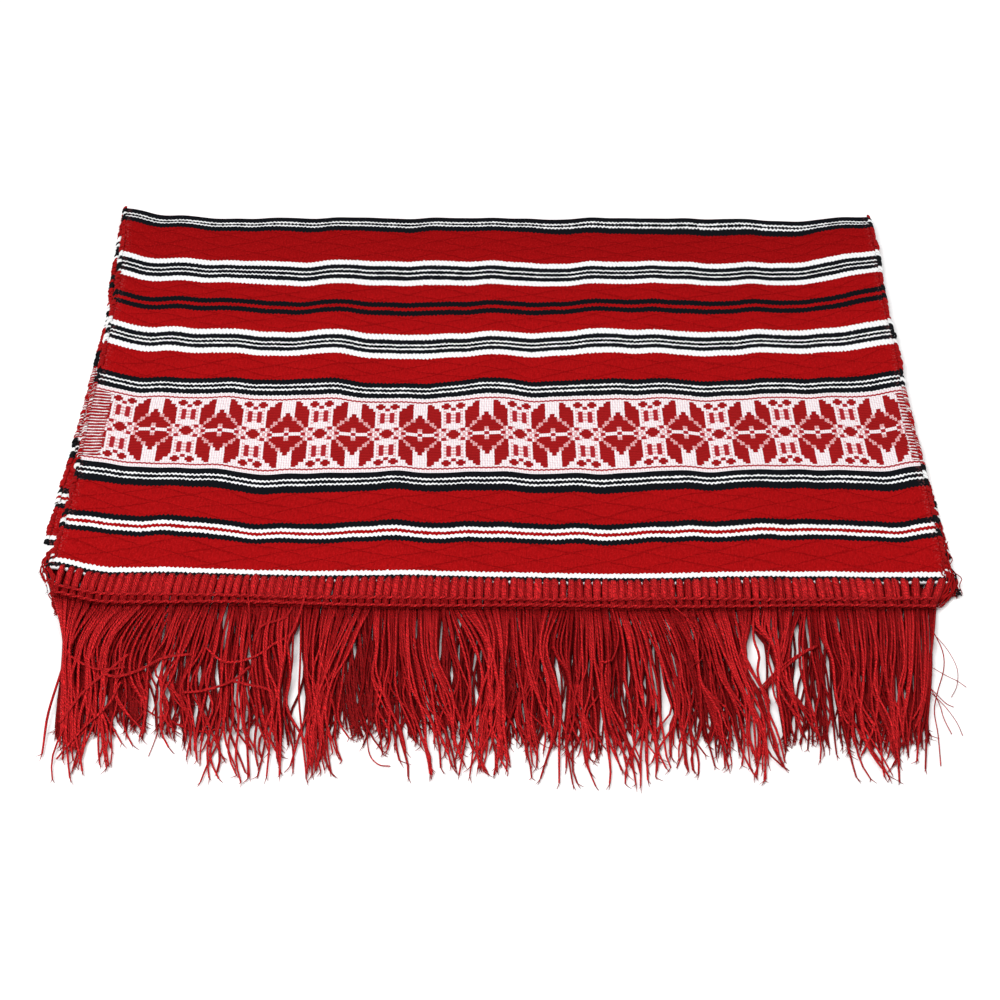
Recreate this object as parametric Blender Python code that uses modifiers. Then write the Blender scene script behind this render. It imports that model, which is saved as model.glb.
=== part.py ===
"""A woven towel folded once across its length, with a sewn fringe on each end.

The cloth lies flat on a surface, its fold away from the viewer. The end of the upper layer
comes forward over the end of the lower one, so one fringe lies over the other.

Frame: metres, +X across the cloth, +Y from the fringes to the fold, +Z up. The origin is on
the surface, under the middle of the whole piece.
"""

import math

import bmesh
import bpy

# Cloth, laid flat before folding
CLOTH_WIDTH = 0.350
CLOTH_THICK = 0.0014

# Where the folded cloth reaches along Y, in the middle of its width
FOLD_Y = 0.1690
TOP_END_Y = -0.0760
LOWER_END_Y = -0.0590

# Heights of the middle of the sheet's thickness
LOWER_MID_Z = CLOTH_THICK / 2
TOP_MID_Z = 0.0037
CREST_MID_Z = 0.0052
CREST_RUN = 0.035
LAYER_GAP = 0.0005

# The layers' side edges: the share of the way from the fold to the end, and how far the edge
# reaches there beyond half the width
UPPER_LEFT = (
    (0.00, -0.0003),
    (0.12, -0.0023),
    (0.25, -0.0038),
    (0.48, -0.0040),
    (0.58, -0.0030),
    (0.80, -0.0032),
    (0.90, -0.0022),
    (1.00, -0.0006),
)
UPPER_RIGHT = (
    (0.00, 0.0002),
    (0.12, 0.0008),
    (0.33, -0.0008),
    (0.45, -0.0002),
    (0.56, -0.0012),
    (0.75, -0.0003),
    (1.00, 0.0000),
)
LOWER_LEFT = (
    (0.00, 0.0006),
    (0.20, 0.0000),
    (0.34, -0.0018),
    (0.55, -0.0006),
    (0.76, 0.0010),
    (0.88, 0.0026),
    (1.00, 0.0036),
)
LOWER_RIGHT = (
    (0.00, 0.0002),
    (0.15, -0.0006),
    (0.70, -0.0008),
    (0.86, 0.0018),
    (1.00, 0.0022),
)

# The fold wanders and both ends bow: rows of x across the cloth and how far y moves there
FOLD_WANDER = (
    (-0.176, 0.0040),
    (-0.150, -0.0010),
    (-0.132, -0.0035),
    (-0.095, -0.0015),
    (0.000, 0.0005),
    (0.095, 0.0030),
    (0.133, 0.0020),
    (0.176, 0.0065),
)
END_BOW = (
    (-0.176, 0.0048),
    (-0.150, -0.0006),
    (-0.110, 0.0000),
    (-0.060, -0.0007),
    (0.040, 0.0000),
    (0.090, 0.0010),
    (0.140, 0.0021),
    (0.176, 0.0028),
)

# Soft ridges and hollows of the upper layer: centre x, y, half width, half length, height
RIDGES = (
    (-0.075, 0.072, 0.020, 0.038, 0.0019),
    (-0.045, 0.062, 0.022, 0.036, -0.0011),
    (-0.128, 0.090, 0.022, 0.040, 0.0009),
    (-0.156, 0.050, 0.016, 0.030, -0.0008),
    (-0.035, -0.040, 0.022, 0.042, 0.0018),
    (-0.098, -0.040, 0.024, 0.042, -0.0010),
    (-0.132, -0.050, 0.018, 0.034, 0.0009),
    (-0.008, 0.044, 0.014, 0.018, 0.0012),
    (0.045, 0.078, 0.022, 0.030, 0.0013),
    (0.048, -0.046, 0.030, 0.040, -0.0009),
    (0.100, -0.036, 0.024, 0.040, 0.0018),
    (0.077, 0.130, 0.024, 0.026, 0.0013),
    (0.130, 0.118, 0.026, 0.034, -0.0009),
    (0.165, 0.096, 0.012, 0.040, 0.0009),
    (-0.172, 0.000, 0.010, 0.090, 0.0008),
)

# The upper layer is lifted over the lower heading from this far behind it, along this ramp
HEADING_CLEAR = 0.022
HEADING_RAMP = 0.008

# Cells of the cloth's surface
CELLS_ACROSS = 44
CELLS_LOWER = 6
CELLS_FOLD = 6
CELLS_TOP = 20

# Heading of each fringe: the looped bundles of yarn, sewn along the cloth's end
HEADING_DEPTH = 0.0130
HEADING_THICK = 0.0022
HEADING_GAP = 0.0005
HEADING_RIDGE = 0.0005
BUNDLE_SHARE = 0.64
HEADING_INSET = 0.0030
FOOT_SHIFT = (0.0005, -0.0045)
FOOT_THICK = 0.0018
TOP_FOOT_Z = 0.0019

# The upper fringe. A section row is y, height off the floor, thickness, width, share of drift.
# A tip is thickness, width; its y follows the rows of x, y, and it lies at the last height.
# A parting is x, how far it pushes the tips beside it, and how soon that fades sideways.
TOP_BUNDLES = 105
TOP_SECTIONS = (
    (-0.120, 0.0017, 0.0014, 0.0023, 0.30),
    (-0.149, 0.0016, 0.0013, 0.0020, 0.75),
    (-0.160, 0.0000, 0.0012, 0.0018, 0.90),
)
TOP_TIP = (0.0009, 0.0013)
TOP_TIP_Y = (
    (-0.170, -0.170),
    (-0.150, -0.173),
    (-0.132, -0.167),
    (-0.100, -0.174),
    (-0.074, -0.175),
    (-0.056, -0.168),
    (-0.020, -0.175),
    (0.018, -0.168),
    (0.033, -0.176),
    (0.062, -0.173),
    (0.100, -0.168),
    (0.135, -0.175),
    (0.170, -0.168),
)
TOP_PARTINGS = (
    (-0.150, 0.0016, 0.009),
    (-0.129, 0.0052, 0.020),
    (-0.084, 0.0038, 0.014),
    (-0.050, 0.0022, 0.009),
    (-0.018, 0.0016, 0.008),
    (0.018, 0.0038, 0.014),
    (0.050, 0.0020, 0.009),
    (0.097, 0.0056, 0.020),
    (0.137, 0.0026, 0.011),
)

# The lower fringe, mostly hidden by the upper one
LOWER_BUNDLES = 84
LOWER_SECTIONS = (
    (-0.096, 0.0000, 0.0013, 0.0030, 0.30),
    (-0.122, 0.0000, 0.0012, 0.0026, 0.75),
)
LOWER_TIP = (0.0009, 0.0018)
LOWER_TIP_Y = (
    (-0.170, -0.146),
    (-0.120, -0.143),
    (-0.080, -0.148),
    (-0.030, -0.145),
    (0.020, -0.148),
    (0.080, -0.144),
    (0.170, -0.147),
)
LOWER_PARTINGS = (
    (-0.104, 0.0032, 0.014),
    (-0.034, 0.0028, 0.012),
    (0.060, 0.0030, 0.013),
    (0.122, 0.0036, 0.016),
)

# Tips reach unevenly by up to this much, and both fringes narrow by this share towards them
TIP_UNEVEN = 0.0016
FRINGE_LEAN = 0.062

# Colours, roughness
CLOTH_RED = (0.42, 0.008, 0.014, 1.0)
FRINGE_RED = (0.48, 0.010, 0.018, 1.0)
YARN_ROUGHNESS = 0.85


def start_empty():
    """Remove every object that the scene starts with."""
    for obj in list(bpy.data.objects):
        bpy.data.objects.remove(obj)


def yarn_material(name, colour):
    """A plain matt yarn of one colour."""
    material = bpy.data.materials.new(name)
    material.use_nodes = True
    shader = material.node_tree.nodes["Principled BSDF"]
    shader.inputs["Base Color"].default_value = colour
    shader.inputs["Roughness"].default_value = YARN_ROUGHNESS
    shader.inputs["Metallic"].default_value = 0.0
    return material


def ease(t):
    """A smooth step from 0 to 1."""
    t = min(max(t, 0.0), 1.0)
    return t * t * (3.0 - 2.0 * t)


def eased(rows, x):
    """The value at x in a table of (x, value) rows, with smooth steps between neighbours."""
    if x <= rows[0][0]:
        return rows[0][1]
    for (x0, v0), (x1, v1) in zip(rows, rows[1:]):
        if x <= x1:
            return v0 + (v1 - v0) * ease((x - x0) / (x1 - x0))
    return rows[-1][1]


def mix(a, b, t):
    return a + (b - a) * t


def fold_y(x):
    return FOLD_Y + eased(FOLD_WANDER, x)


def end_y(x, middle):
    """The front edge of a layer at x, given where it lies in the middle of the width."""
    return middle + eased(END_BOW, x)


def ridge_height(x, y):
    """Sum of the soft ridges and hollows at a place on the upper layer."""
    total = 0.0
    for cx, cy, half_width, half_length, height in RIDGES:
        far = ((x - cx) / half_width) ** 2 + ((y - cy) / half_length) ** 2
        total += height * math.exp(-far)
    return total


def top_mid_z(x, y):
    """Height of the upper layer's mid-surface, clear of what lies under it."""
    from_crest = (fold_y(x) - y) / CREST_RUN
    z = mix(CREST_MID_Z, TOP_MID_Z, ease(from_crest))
    z += ridge_height(x, y) * ease(from_crest)
    over_layer = CLOTH_THICK + LAYER_GAP
    over_heading = HEADING_THICK + LAYER_GAP
    near_heading = ease((end_y(x, LOWER_END_Y) + HEADING_CLEAR - y) / HEADING_RAMP)
    return max(z, mix(over_layer, over_heading, near_heading) + CLOTH_THICK / 2)


def cloth_point(across, row):
    """Mid-surface point for a share across the width and a row counted from the lower end."""
    half = CLOTH_WIDTH / 2
    on_lower = 1.0 - ease((row - CELLS_LOWER) / CELLS_FOLD)
    from_end = min(row / CELLS_LOWER, 1.0)
    share = max(row - CELLS_LOWER - CELLS_FOLD, 0) / CELLS_TOP
    left = half + mix(eased(UPPER_LEFT, share), eased(LOWER_LEFT, 1.0 - from_end), on_lower)
    right = half + mix(eased(UPPER_RIGHT, share), eased(LOWER_RIGHT, 1.0 - from_end), on_lower)
    x = mix(-left, right, across)

    radius = (CREST_MID_Z - LOWER_MID_Z) / 2
    bend_y = fold_y(x) - radius - CLOTH_THICK / 2
    if row <= CELLS_LOWER:
        return x, mix(end_y(x, LOWER_END_Y), bend_y, from_end), LOWER_MID_Z

    if row < CELLS_LOWER + CELLS_FOLD:
        angle = math.pi * (row - CELLS_LOWER) / CELLS_FOLD
        y = bend_y + radius * math.sin(angle)
        return x, y, LOWER_MID_Z + radius * (1.0 - math.cos(angle))

    y = mix(bend_y, end_y(x, TOP_END_Y), share)
    return x, y, top_mid_z(x, y)


def build_cloth(collection):
    """One sheet, folded over itself and thickened."""
    rows = CELLS_LOWER + CELLS_FOLD + CELLS_TOP
    bm = bmesh.new()
    bmesh.ops.create_grid(bm, x_segments=CELLS_ACROSS, y_segments=rows, size=0.5)
    for vert in bm.verts:
        row = round((vert.co.y + 0.5) * rows)
        vert.co = cloth_point(vert.co.x + 0.5, row)
    cloth = object_from(bm, "towel_cloth", collection, yarn_material("woven_yarn", CLOTH_RED))
    for face in cloth.data.polygons:
        face.use_smooth = True
    wall = cloth.modifiers.new("thickness", "SOLIDIFY")
    wall.thickness = CLOTH_THICK
    wall.offset = 0.0
    wall.use_even_offset = True
    return cloth


def object_from(bm, name, collection, material):
    """Write a bmesh to a new named object in the collection."""
    mesh = bpy.data.meshes.new(name)
    bm.to_mesh(mesh)
    bm.free()
    mesh.materials.append(material)
    obj = bpy.data.objects.new(name, mesh)
    collection.objects.link(obj)
    return obj


def drift(x, partings):
    """Sideways drift of a lock's tip: away from each parting, and in from the sides."""
    total = -x * FRINGE_LEAN
    for place, opening, reach in partings:
        side = 1.0 if x > place else -1.0
        total += side * opening * math.exp(-abs(x - place) / reach)
    return total


def heading_column_x(column, columns, left, right):
    """Edges of bundles and of the gaps between them, in turn from left to right."""
    bundles = (columns + 1) // 2
    pitch = (right - left) / (bundles - 1 + BUNDLE_SHARE)
    start = left + (column // 2) * pitch
    return start + (BUNDLE_SHARE * pitch if column % 2 else 0.0)


def build_heading(bundles, end_middle, left, right, back_z, front_z):
    """A flat strip whose bundles stand out as slanting ribs. Returns it with its front faces."""
    columns = 2 * bundles - 1
    bm = bmesh.new()
    bmesh.ops.create_cube(bm, size=1.0)
    along = [e for e in bm.edges if abs(e.verts[0].co.x - e.verts[1].co.x) > 0.5]
    bmesh.ops.subdivide_edges(bm, edges=along, cuts=columns - 1, use_grid_fill=True)
    bm.normal_update()
    front = [f for f in bm.faces if f.normal.y < -0.5]
    front.sort(key=lambda f: f.calc_center_median().x)

    for vert in bm.verts:
        column = round((vert.co.x + 0.5) * columns)
        is_back = vert.co.y > 0.0
        is_top = vert.co.z > 0.0
        shift_left, shift_right = (0.0, 0.0) if is_back else FOOT_SHIFT
        x = heading_column_x(column, columns, left + shift_left, right + shift_right)
        edge = end_y(x, end_middle)
        y = edge - HEADING_GAP - (0.0 if is_back else HEADING_DEPTH)
        low, high = (back_z if is_back else front_z)(x, edge)
        rib = HEADING_RIDGE if column % 2 else 0.0
        vert.co = (x, y, high - rib if is_top else low)
    return bm, front[::2]


def extrude_lock(bm, face, sections):
    """Pull one lock out of a heading face, through sections of x, y, bottom, thickness, width."""
    for x, y, bottom, thick, width in sections:
        face = bmesh.ops.extrude_discrete_faces(bm, faces=[face])["faces"][0]
        centre = face.calc_center_median()
        corners = [(v, v.co.x > centre.x, v.co.z > centre.z) for v in face.verts]
        for vert, is_right, is_top in corners:
            vert.co.x = x + (width / 2 if is_right else -width / 2)
            vert.co.y = y
            vert.co.z = bottom + (thick if is_top else 0.0)


def build_fringe(name, collection, heading, section_rows, tip, tip_rows, partings):
    """A heading strip with one tapering lock for each of its bundles."""
    bm, roots = heading
    tip_thick, tip_width = tip
    for index, face in enumerate(roots):
        root_x = face.calc_center_median().x
        sway = drift(root_x, partings)
        uneven = TIP_UNEVEN * math.sin(2.4 * index) * math.cos(0.7 * index)
        sections = [
            (root_x + sway * share, y, bottom, thick, width)
            for y, bottom, thick, width, share in section_rows
        ]
        tip_y = eased(tip_rows, root_x) + uneven
        sections.append((root_x + sway, tip_y, section_rows[-1][1], tip_thick, tip_width))
        extrude_lock(bm, face, sections)
    return object_from(bm, name, collection, yarn_material(name + "_yarn", FRINGE_RED))


def top_heading_back(x, edge):
    """Bottom and top of the upper heading where it meets the cloth, level with the cloth there."""
    middle = top_mid_z(x, edge)
    return middle - HEADING_THICK / 2, middle + HEADING_THICK / 2


def top_heading_front(x, edge):
    return TOP_FOOT_Z, TOP_FOOT_Z + FOOT_THICK


def lower_heading_back(x, edge):
    return 0.0, HEADING_THICK


def lower_heading_front(x, edge):
    return 0.0, FOOT_THICK


def main():
    start_empty()
    collection = bpy.data.collections.new("folded_towel")
    bpy.context.scene.collection.children.link(collection)

    build_cloth(collection)

    reach = CLOTH_WIDTH / 2 - HEADING_INSET
    top = build_heading(TOP_BUNDLES, TOP_END_Y, -reach, reach,
                        top_heading_back, top_heading_front)
    build_fringe("top_fringe", collection, top, TOP_SECTIONS, TOP_TIP, TOP_TIP_Y, TOP_PARTINGS)

    lower_left = -reach - LOWER_LEFT[-1][1]
    lower_right = reach + LOWER_RIGHT[-1][1]
    lower = build_heading(LOWER_BUNDLES, LOWER_END_Y, lower_left, lower_right,
                          lower_heading_back, lower_heading_front)
    build_fringe("lower_fringe", collection, lower, LOWER_SECTIONS, LOWER_TIP,
                 LOWER_TIP_Y, LOWER_PARTINGS)


main()
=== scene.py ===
"""Looks of a woven ritual towel, folded once, with a looped and stitched fringe on each end.

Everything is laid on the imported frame: metres, +X across the cloth, +Y from the fringes to the
fold, +Z up. The cloth, the selvedge loops, the headings, the chain stitch and the strands are
one operator each, and the stage has its own.
"""

import math
from types import SimpleNamespace

import bmesh
import bpy
import numpy as np
from mathutils import Matrix, Vector


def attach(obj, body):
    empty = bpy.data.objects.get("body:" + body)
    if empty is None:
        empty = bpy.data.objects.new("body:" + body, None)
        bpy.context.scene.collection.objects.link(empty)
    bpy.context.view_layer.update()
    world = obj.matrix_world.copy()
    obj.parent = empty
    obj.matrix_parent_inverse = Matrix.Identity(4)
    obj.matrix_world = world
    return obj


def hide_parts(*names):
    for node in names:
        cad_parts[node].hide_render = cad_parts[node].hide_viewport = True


bl_info = {
    "name": "Folded Ritual Towel",
    "version": (1, 0, 0),
    "blender": (4, 5, 0),
    "location": "View3D > Sidebar > Towel",
    "description": "Woven towel with a patterned band and yarn fringes, laid on its frame",
    "category": "Object",
}

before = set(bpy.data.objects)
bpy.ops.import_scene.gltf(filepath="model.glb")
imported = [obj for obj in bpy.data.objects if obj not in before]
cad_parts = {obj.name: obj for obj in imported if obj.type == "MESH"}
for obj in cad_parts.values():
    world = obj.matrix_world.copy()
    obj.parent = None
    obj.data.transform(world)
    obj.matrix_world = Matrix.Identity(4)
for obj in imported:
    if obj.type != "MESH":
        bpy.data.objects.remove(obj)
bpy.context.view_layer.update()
BODY = "root"

# Sizes shared with the part's source
CLOTH_WIDTH = 0.350
CLOTH_LENGTH = 0.475
CLOTH_THICK = 0.0014
FOLD_Y = 0.1690
TOP_END_Y = -0.0760
LOWER_END_Y = -0.0590
LOWER_MID_Z = CLOTH_THICK / 2
TOP_MID_Z = 0.0037
CREST_MID_Z = 0.0052
CREST_RUN = 0.035
LAYER_GAP = 0.0005
HEADING_CLEAR = 0.022
HEADING_RAMP = 0.008
HEADING_THICK = 0.0022
HEADING_INSET = 0.0030
FOOT_SHIFT = (0.0005, -0.0045)
BUNDLE_SHARE = 0.64

# How far y moves at each x: the fold, and the end of a layer
FOLD_WANDER = (
    (-0.176, 0.0040), (-0.150, -0.0010), (-0.132, -0.0035), (-0.095, -0.0015), (0.000, 0.0005),
    (0.095, 0.0030), (0.133, 0.0020), (0.176, 0.0065),
)
END_BOW = (
    (-0.176, 0.0048), (-0.150, -0.0006), (-0.110, 0.0000), (-0.060, -0.0007), (0.040, 0.0000),
    (0.090, 0.0010), (0.140, 0.0021), (0.176, 0.0028),
)
# The weave's own bow a little behind the end, and how soon the end's bow gives way to it
WEAVE_BOW = (
    (-0.176, 0.0060), (-0.150, 0.0025), (-0.110, 0.0003), (-0.060, -0.0007), (0.040, 0.0000),
    (0.090, 0.0018), (0.140, 0.0040), (0.176, 0.0065),
)
WEAVE_BOW_RUN = 0.024

# The layers' side edges: the share of the way from the fold to the end, and how far the edge
# reaches there beyond half the width
UPPER_LEFT = (
    (0.00, -0.0003), (0.12, -0.0023), (0.25, -0.0038), (0.48, -0.0040), (0.58, -0.0030),
    (0.80, -0.0032), (0.90, -0.0022), (1.00, -0.0006),
)
UPPER_RIGHT = (
    (0.00, 0.0002), (0.12, 0.0008), (0.33, -0.0008), (0.45, -0.0002), (0.56, -0.0012), (0.75, -0.0003),
    (1.00, 0.0000),
)
LOWER_LEFT = (
    (0.00, 0.0006), (0.20, 0.0000), (0.34, -0.0018), (0.55, -0.0006), (0.76, 0.0010), (0.88, 0.0026),
    (1.00, 0.0036),
)
LOWER_RIGHT = (
    (0.00, 0.0002), (0.15, -0.0006), (0.70, -0.0008), (0.86, 0.0018), (1.00, 0.0022),
)

# Soft ridges and hollows of the upper layer: centre x, y, half width, half length, height
RIDGES = (
    (-0.075, 0.072, 0.020, 0.038, 0.0019), (-0.045, 0.062, 0.022, 0.036, -0.0011),
    (-0.128, 0.090, 0.022, 0.040, 0.0009), (-0.156, 0.050, 0.016, 0.030, -0.0008),
    (-0.035, -0.040, 0.022, 0.042, 0.0018), (-0.098, -0.040, 0.024, 0.042, -0.0010),
    (-0.132, -0.050, 0.018, 0.034, 0.0009), (-0.008, 0.044, 0.014, 0.018, 0.0012),
    (0.045, 0.078, 0.022, 0.030, 0.0013), (0.048, -0.046, 0.030, 0.040, -0.0009),
    (0.100, -0.036, 0.024, 0.040, 0.0018), (0.077, 0.130, 0.024, 0.026, 0.0013),
    (0.130, 0.118, 0.026, 0.034, -0.0009), (0.165, 0.096, 0.012, 0.040, 0.0009),
    (-0.172, 0.000, 0.010, 0.090, 0.0008),
)

# How the weave is pulled askew between the end and the fold, in millimetres of y: one row for
# each distance from the end, one column for each x
SKEW_X = (-0.175, -0.150, -0.130, -0.090, -0.045, 0.000, 0.050, 0.100, 0.135, 0.155, 0.175)
SKEW_ROWS = (
    (0.000, (0.0, 0.0, 0.0, 0.0, 0.0, 0.0, 0.0, 0.0, 0.0, 0.0, 0.0)),
    (0.040, (-1.0, -0.5, 0.3, -1.3, -0.8, 0.0, 0.8, 0.4, 0.2, -0.8, -0.5)),
    (0.080, (-0.5, -0.5, 0.0, -1.0, -0.8, 0.0, 0.6, 0.2, 1.0, 0.5, 1.5)),
    (0.123, (0.5, -0.8, -0.2, -0.3, -1.3, 0.0, 0.8, 0.4, 2.3, 2.4, 4.2)),
    (0.150, (1.8, 0.2, 0.3, -1.6, -1.3, -0.5, 0.8, 0.6, 3.0, 3.4, 5.8)),
    (0.185, (0.8, -0.5, 0.8, -1.5, -0.8, -0.3, 0.2, 0.2, 3.3, 5.0, 9.0)),
    (0.211, (0.3, -0.6, 0.5, -0.7, 0.4, -0.3, -1.0, -1.6, 2.0, 4.2, 6.6)),
    (0.236, (1.2, 1.0, 0.6, 0.0, -0.2, 0.2, -1.7, -2.8, -1.5, 1.2, 1.8)),
    (0.243, (0.0, 0.0, 0.0, 0.0, 0.0, 0.0, 0.0, 0.0, 0.0, 0.0, 0.0)),
)

# Ripples of the upper layer across its width: wavelength, phase, shift along Y, height, and how
# far the phase turns for each metre along the cloth
RIPPLES = (
    (0.061, 0.7, 0.00045, 0.00016, 7.0), (0.037, 2.9, 0.00040, 0.00013, -11.0),
    (0.0235, 5.1, 0.00024, 0.00007, 17.0), (0.0150, 1.4, 0.00012, 0.00003, -23.0),
)

# Cells of the woven sheet
COLUMNS = 180
LOWER_ROWS = 36
FOLD_ROWS = 10
TOP_ROWS = 124
SHEET_ROWS = LOWER_ROWS + FOLD_ROWS + TOP_ROWS

# Woven stripes from an end of the cloth to its middle: where each ends in mm, and its colour
STRIPES = (
    (0.4, "white"), (2.5, "black"), (4.9, "white"), (21.5, "red"), (24.5, "black"),
    (26.3, "white"), (28.3, "red"), (30.1, "white"), (33.4, "black"), (52.2, "red"),
    (56.3, "black"), (57.3, "white"), (59.3, "black"), (60.2, "white"), (64.2, "black"),
    (113.0, "white"), (116.3, "black"), (117.3, "white"), (119.1, "black"), (120.0, "white"),
    (123.8, "black"), (140.6, "red"), (144.3, "white"), (147.1, "black"), (148.1, "white"),
    (150.0, "black"), (151.0, "white"), (153.8, "black"), (157.4, "white"), (170.9, "red"),
    (174.3, "black"), (176.7, "red"), (180.1, "black"), (192.4, "red"), (196.3, "white"),
    (199.4, "black"), (200.5, "white"), (202.4, "black"), (203.4, "white"), (206.6, "black"),
    (210.3, "white"), (232.6, "red"), (236.1, "black"), (237.1, "white"), (239.0, "black"),
)
RAMP_SPLIT = 123.8
HALF_LENGTH = 238.0

# Painted shade: where the red grows darker towards the fold, as the light falls off there, and over how
# far, in mm from the cloth's end
FOLD_SHADE_FROM = 170.0
FOLD_SHADE_RUN = 75.0

# Depth of a lozenge of the lattice in the red, in mm
LOZENGE_DEPTH = 8.7

# Patterned band in mm: its middle and half depth, the thin lines that edge it, the depth of a
# charted row, the motif's repeat, and the square of the radius of the ground's dots
BAND_MIDDLE = 88.5
BAND_HALF = 24.5
BAND_LINE = 22.0
BAND_LINE_HALF = 0.48
BAND_ROW = 1.03
BAND_REPEAT = 28.1
BAND_START = 7.65
DOT_SIZE = 0.13

# Where specks and plain rows begin near the selvedges, in mm from the cloth's middle
EDGE_SPECKS = 171.0
SELVEDGE_LEFT = 167.0
SELVEDGE_RIGHT = 171.5

# Half a repeat of the motif, charted from its middle row outwards. Columns run from the middle
# of the windows to the middle of the hearts. r raised float, o flat bar, x dotted, . ground
MOTIF_ROWS = (
    "rrr.x.oo.....o",
    "rr.x.xx.rrrrr.",
    "rx.oo.xrrrrrrx",
    "..xoo.xrrrrrrx",
    ".....rrxrrrrrr",
    ".....rrxxrrrrr",
    "...x.rrrxxrrrr",
    ".oo..rrrxxrrrr",
    "xoox.rrrrrxxrr",
    ".oo..rrrrrxxrr",
    "xoox.rrrrrr.rr",
    ".oo..rrrrrr..r",
    "xoox.rrrrrr..r",
    ".oo..rrrrrr...",
    "...x.rrrrrr...",
    "o.....rrrrr...",
    "o.rr..rrrrr...",
    ".rrrr...rrr...",
    ".rrrr...rrr...",
    "..rr.....rr...",
)

# Course of the upper strands in mm: x at the root, then x at the first and the second distance
# in front of it, then x and y of the tip
UPPER_COURSE = (
    (-167.8, -163.7, -161.0, -158.4, -163.5), (-160.9, -162.3, -158.9, -155.4, -165.5),
    (-154.0, -160.8, -157.4, -152.4, -167.0), (-145.0, -153.3, -150.8, -148.5, -168.5),
    (-136.7, -147.4, -143.5, -139.0, -169.5), (-134.0, -143.0, -139.5, -134.5, -160.0),
    (-130.6, -137.7, -133.4, -129.2, -152.0), (-121.5, -125.1, -124.6, -122.6, -150.0),
    (-114.6, -119.9, -121.0, -114.4, -155.0), (-110.0, -112.4, -118.8, -108.2, -168.0),
    (-103.2, -105.0, -106.4, -105.4, -173.0), (-95.6, -95.3, -96.9, -89.3, -171.0),
    (-88.0, -90.6, -86.6, -83.5, -172.7), (-80.4, -79.4, -76.4, -72.6, -173.4),
    (-69.0, -70.6, -69.2, -65.8, -172.4), (-57.5, -62.4, -65.5, -63.8, -169.6),
    (-49.8, -56.4, -62.6, -59.6, -167.2), (-47.5, -47.4, -47.2, -40.7, -157.5),
    (-42.2, -41.4, -39.9, -33.8, -173.8), (-32.3, -31.7, -26.0, -18.2, -172.7),
    (-23.0, -22.7, -17.9, -13.9, -171.7), (-14.6, -3.9, -3.2, -8.2, -171.6),
    (-5.4, -0.2, -0.3, -0.4, -173.3), (3.8, 3.6, 2.7, 5.3, -171.4), (13.3, 12.6, 14.4, 13.3, -159.0),
    (22.9, 16.4, 21.8, 25.2, -172.0), (30.6, 29.9, 28.4, 24.5, -171.0),
    (35.2, 35.2, 35.0, 35.1, -174.7), (42.2, 43.5, 40.9, 49.7, -168.0),
    (47.9, 52.5, 54.9, 53.8, -170.7), (57.6, 63.0, 65.3, 62.4, -170.0),
    (66.0, 71.4, 75.6, 76.2, -167.5), (76.0, 81.2, 86.7, 89.8, -168.3),
    (90.3, 91.0, 96.3, 98.5, -167.2), (100.0, 94.8, 91.0, 90.0, -133.0),
    (107.7, 106.2, 103.7, 104.8, -155.0), (116.2, 107.7, 104.5, 108.0, -158.5),
    (118.5, 116.8, 115.0, 116.5, -168.8), (122.0, 121.0, 120.0, 121.5, -157.0),
    (127.0, 127.0, 126.4, 128.5, -160.0), (133.2, 132.7, 133.4, 132.8, -169.0),
    (144.0, 142.6, 140.8, 140.3, -166.6), (154.2, 151.7, 147.5, 144.9, -164.0),
    (162.0, 159.0, 155.6, 149.3, -164.0), (165.8, 163.0, 159.0, 153.0, -162.6),
)

# Course of the lower strands in mm, in the same columns
LOWER_COURSE = (
    (-172.0, -166.0, -163.0, -160.0, -153.0), (-140.0, -140.0, -139.0, -137.0, -150.0),
    (-112.0, -114.0, -113.0, -110.0, -151.0), (-104.0, -102.0, -100.0, -97.0, -149.0),
    (-60.0, -60.0, -58.0, -55.0, -153.0), (-34.0, -36.0, -35.0, -34.0, -151.0),
    (10.0, 11.0, 10.0, 9.0, -154.0), (60.0, 58.0, 57.0, 56.0, -153.0), (66.0, 68.0, 70.0, 71.0, -150.0),
    (90.0, 88.0, 86.0, 82.0, -152.0), (122.0, 124.0, 122.0, 120.0, -154.0),
    (168.0, 163.0, 159.0, 155.0, -153.0),
)

# Partings of both fringes: the root x between the strands that keep to one side and the other,
# then rows of y, middle x and half width, all in mm
PARTINGS = (
    (97.0, (-100.0, 98.0, 0.0), (-107.5, 99.4, 3.2), (-116.7, 99.0, 4.6), (-124.9, 99.4, 3.6),
     (-133.5, 100.1, 2.2), (-141.9, 102.0, 1.0), (-172.0, 102.5, 0.6)),
    (-122.0, (-110.0, -129.0, 0.0), (-125.5, -129.5, 1.4), (-134.6, -128.3, 1.2), (-150.0, -127.0, 2.0),
     (-172.0, -125.0, 4.4)),
    (-76.0, (-100.0, -77.5, 0.0), (-107.1, -78.9, 1.0), (-136.4, -81.0, 0.8), (-152.5, -77.9, 1.6),
     (-172.0, -77.0, 1.6)),
    (6.0, (-104.0, 7.6, 0.0), (-114.5, 7.9, 0.7), (-129.9, 8.3, 0.5), (-140.0, 8.5, 0.0),
     (-172.0, 10.0, 0.0)),
    (22.0, (-112.0, 24.5, 0.0), (-124.0, 25.0, 0.9), (-134.7, 25.6, 0.6), (-152.0, 21.0, 1.2),
     (-172.0, 18.0, 4.0)),
    (73.0, (-100.0, 74.6, 0.0), (-110.8, 75.1, 1.2), (-127.3, 75.0, 1.0), (-140.0, 76.0, 0.0),
     (-172.0, 78.0, 0.0)),
    (121.0, (-104.0, 122.6, 0.0), (-115.2, 123.3, 1.4), (-133.1, 122.6, 1.0), (-143.1, 123.1, 1.6),
     (-155.3, 123.2, 2.2), (-172.0, 124.0, 3.0)),
    (140.0, (-90.0, 140.2, 0.0), (-97.0, 139.6, 1.2), (-104.5, 138.5, 0.6), (-112.0, 138.0, 0.0),
     (-172.0, 136.0, 0.0)),
)
# How many of the strands cross a parting instead of keeping to their side
CROSSING_SHARE = 0.22

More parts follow.
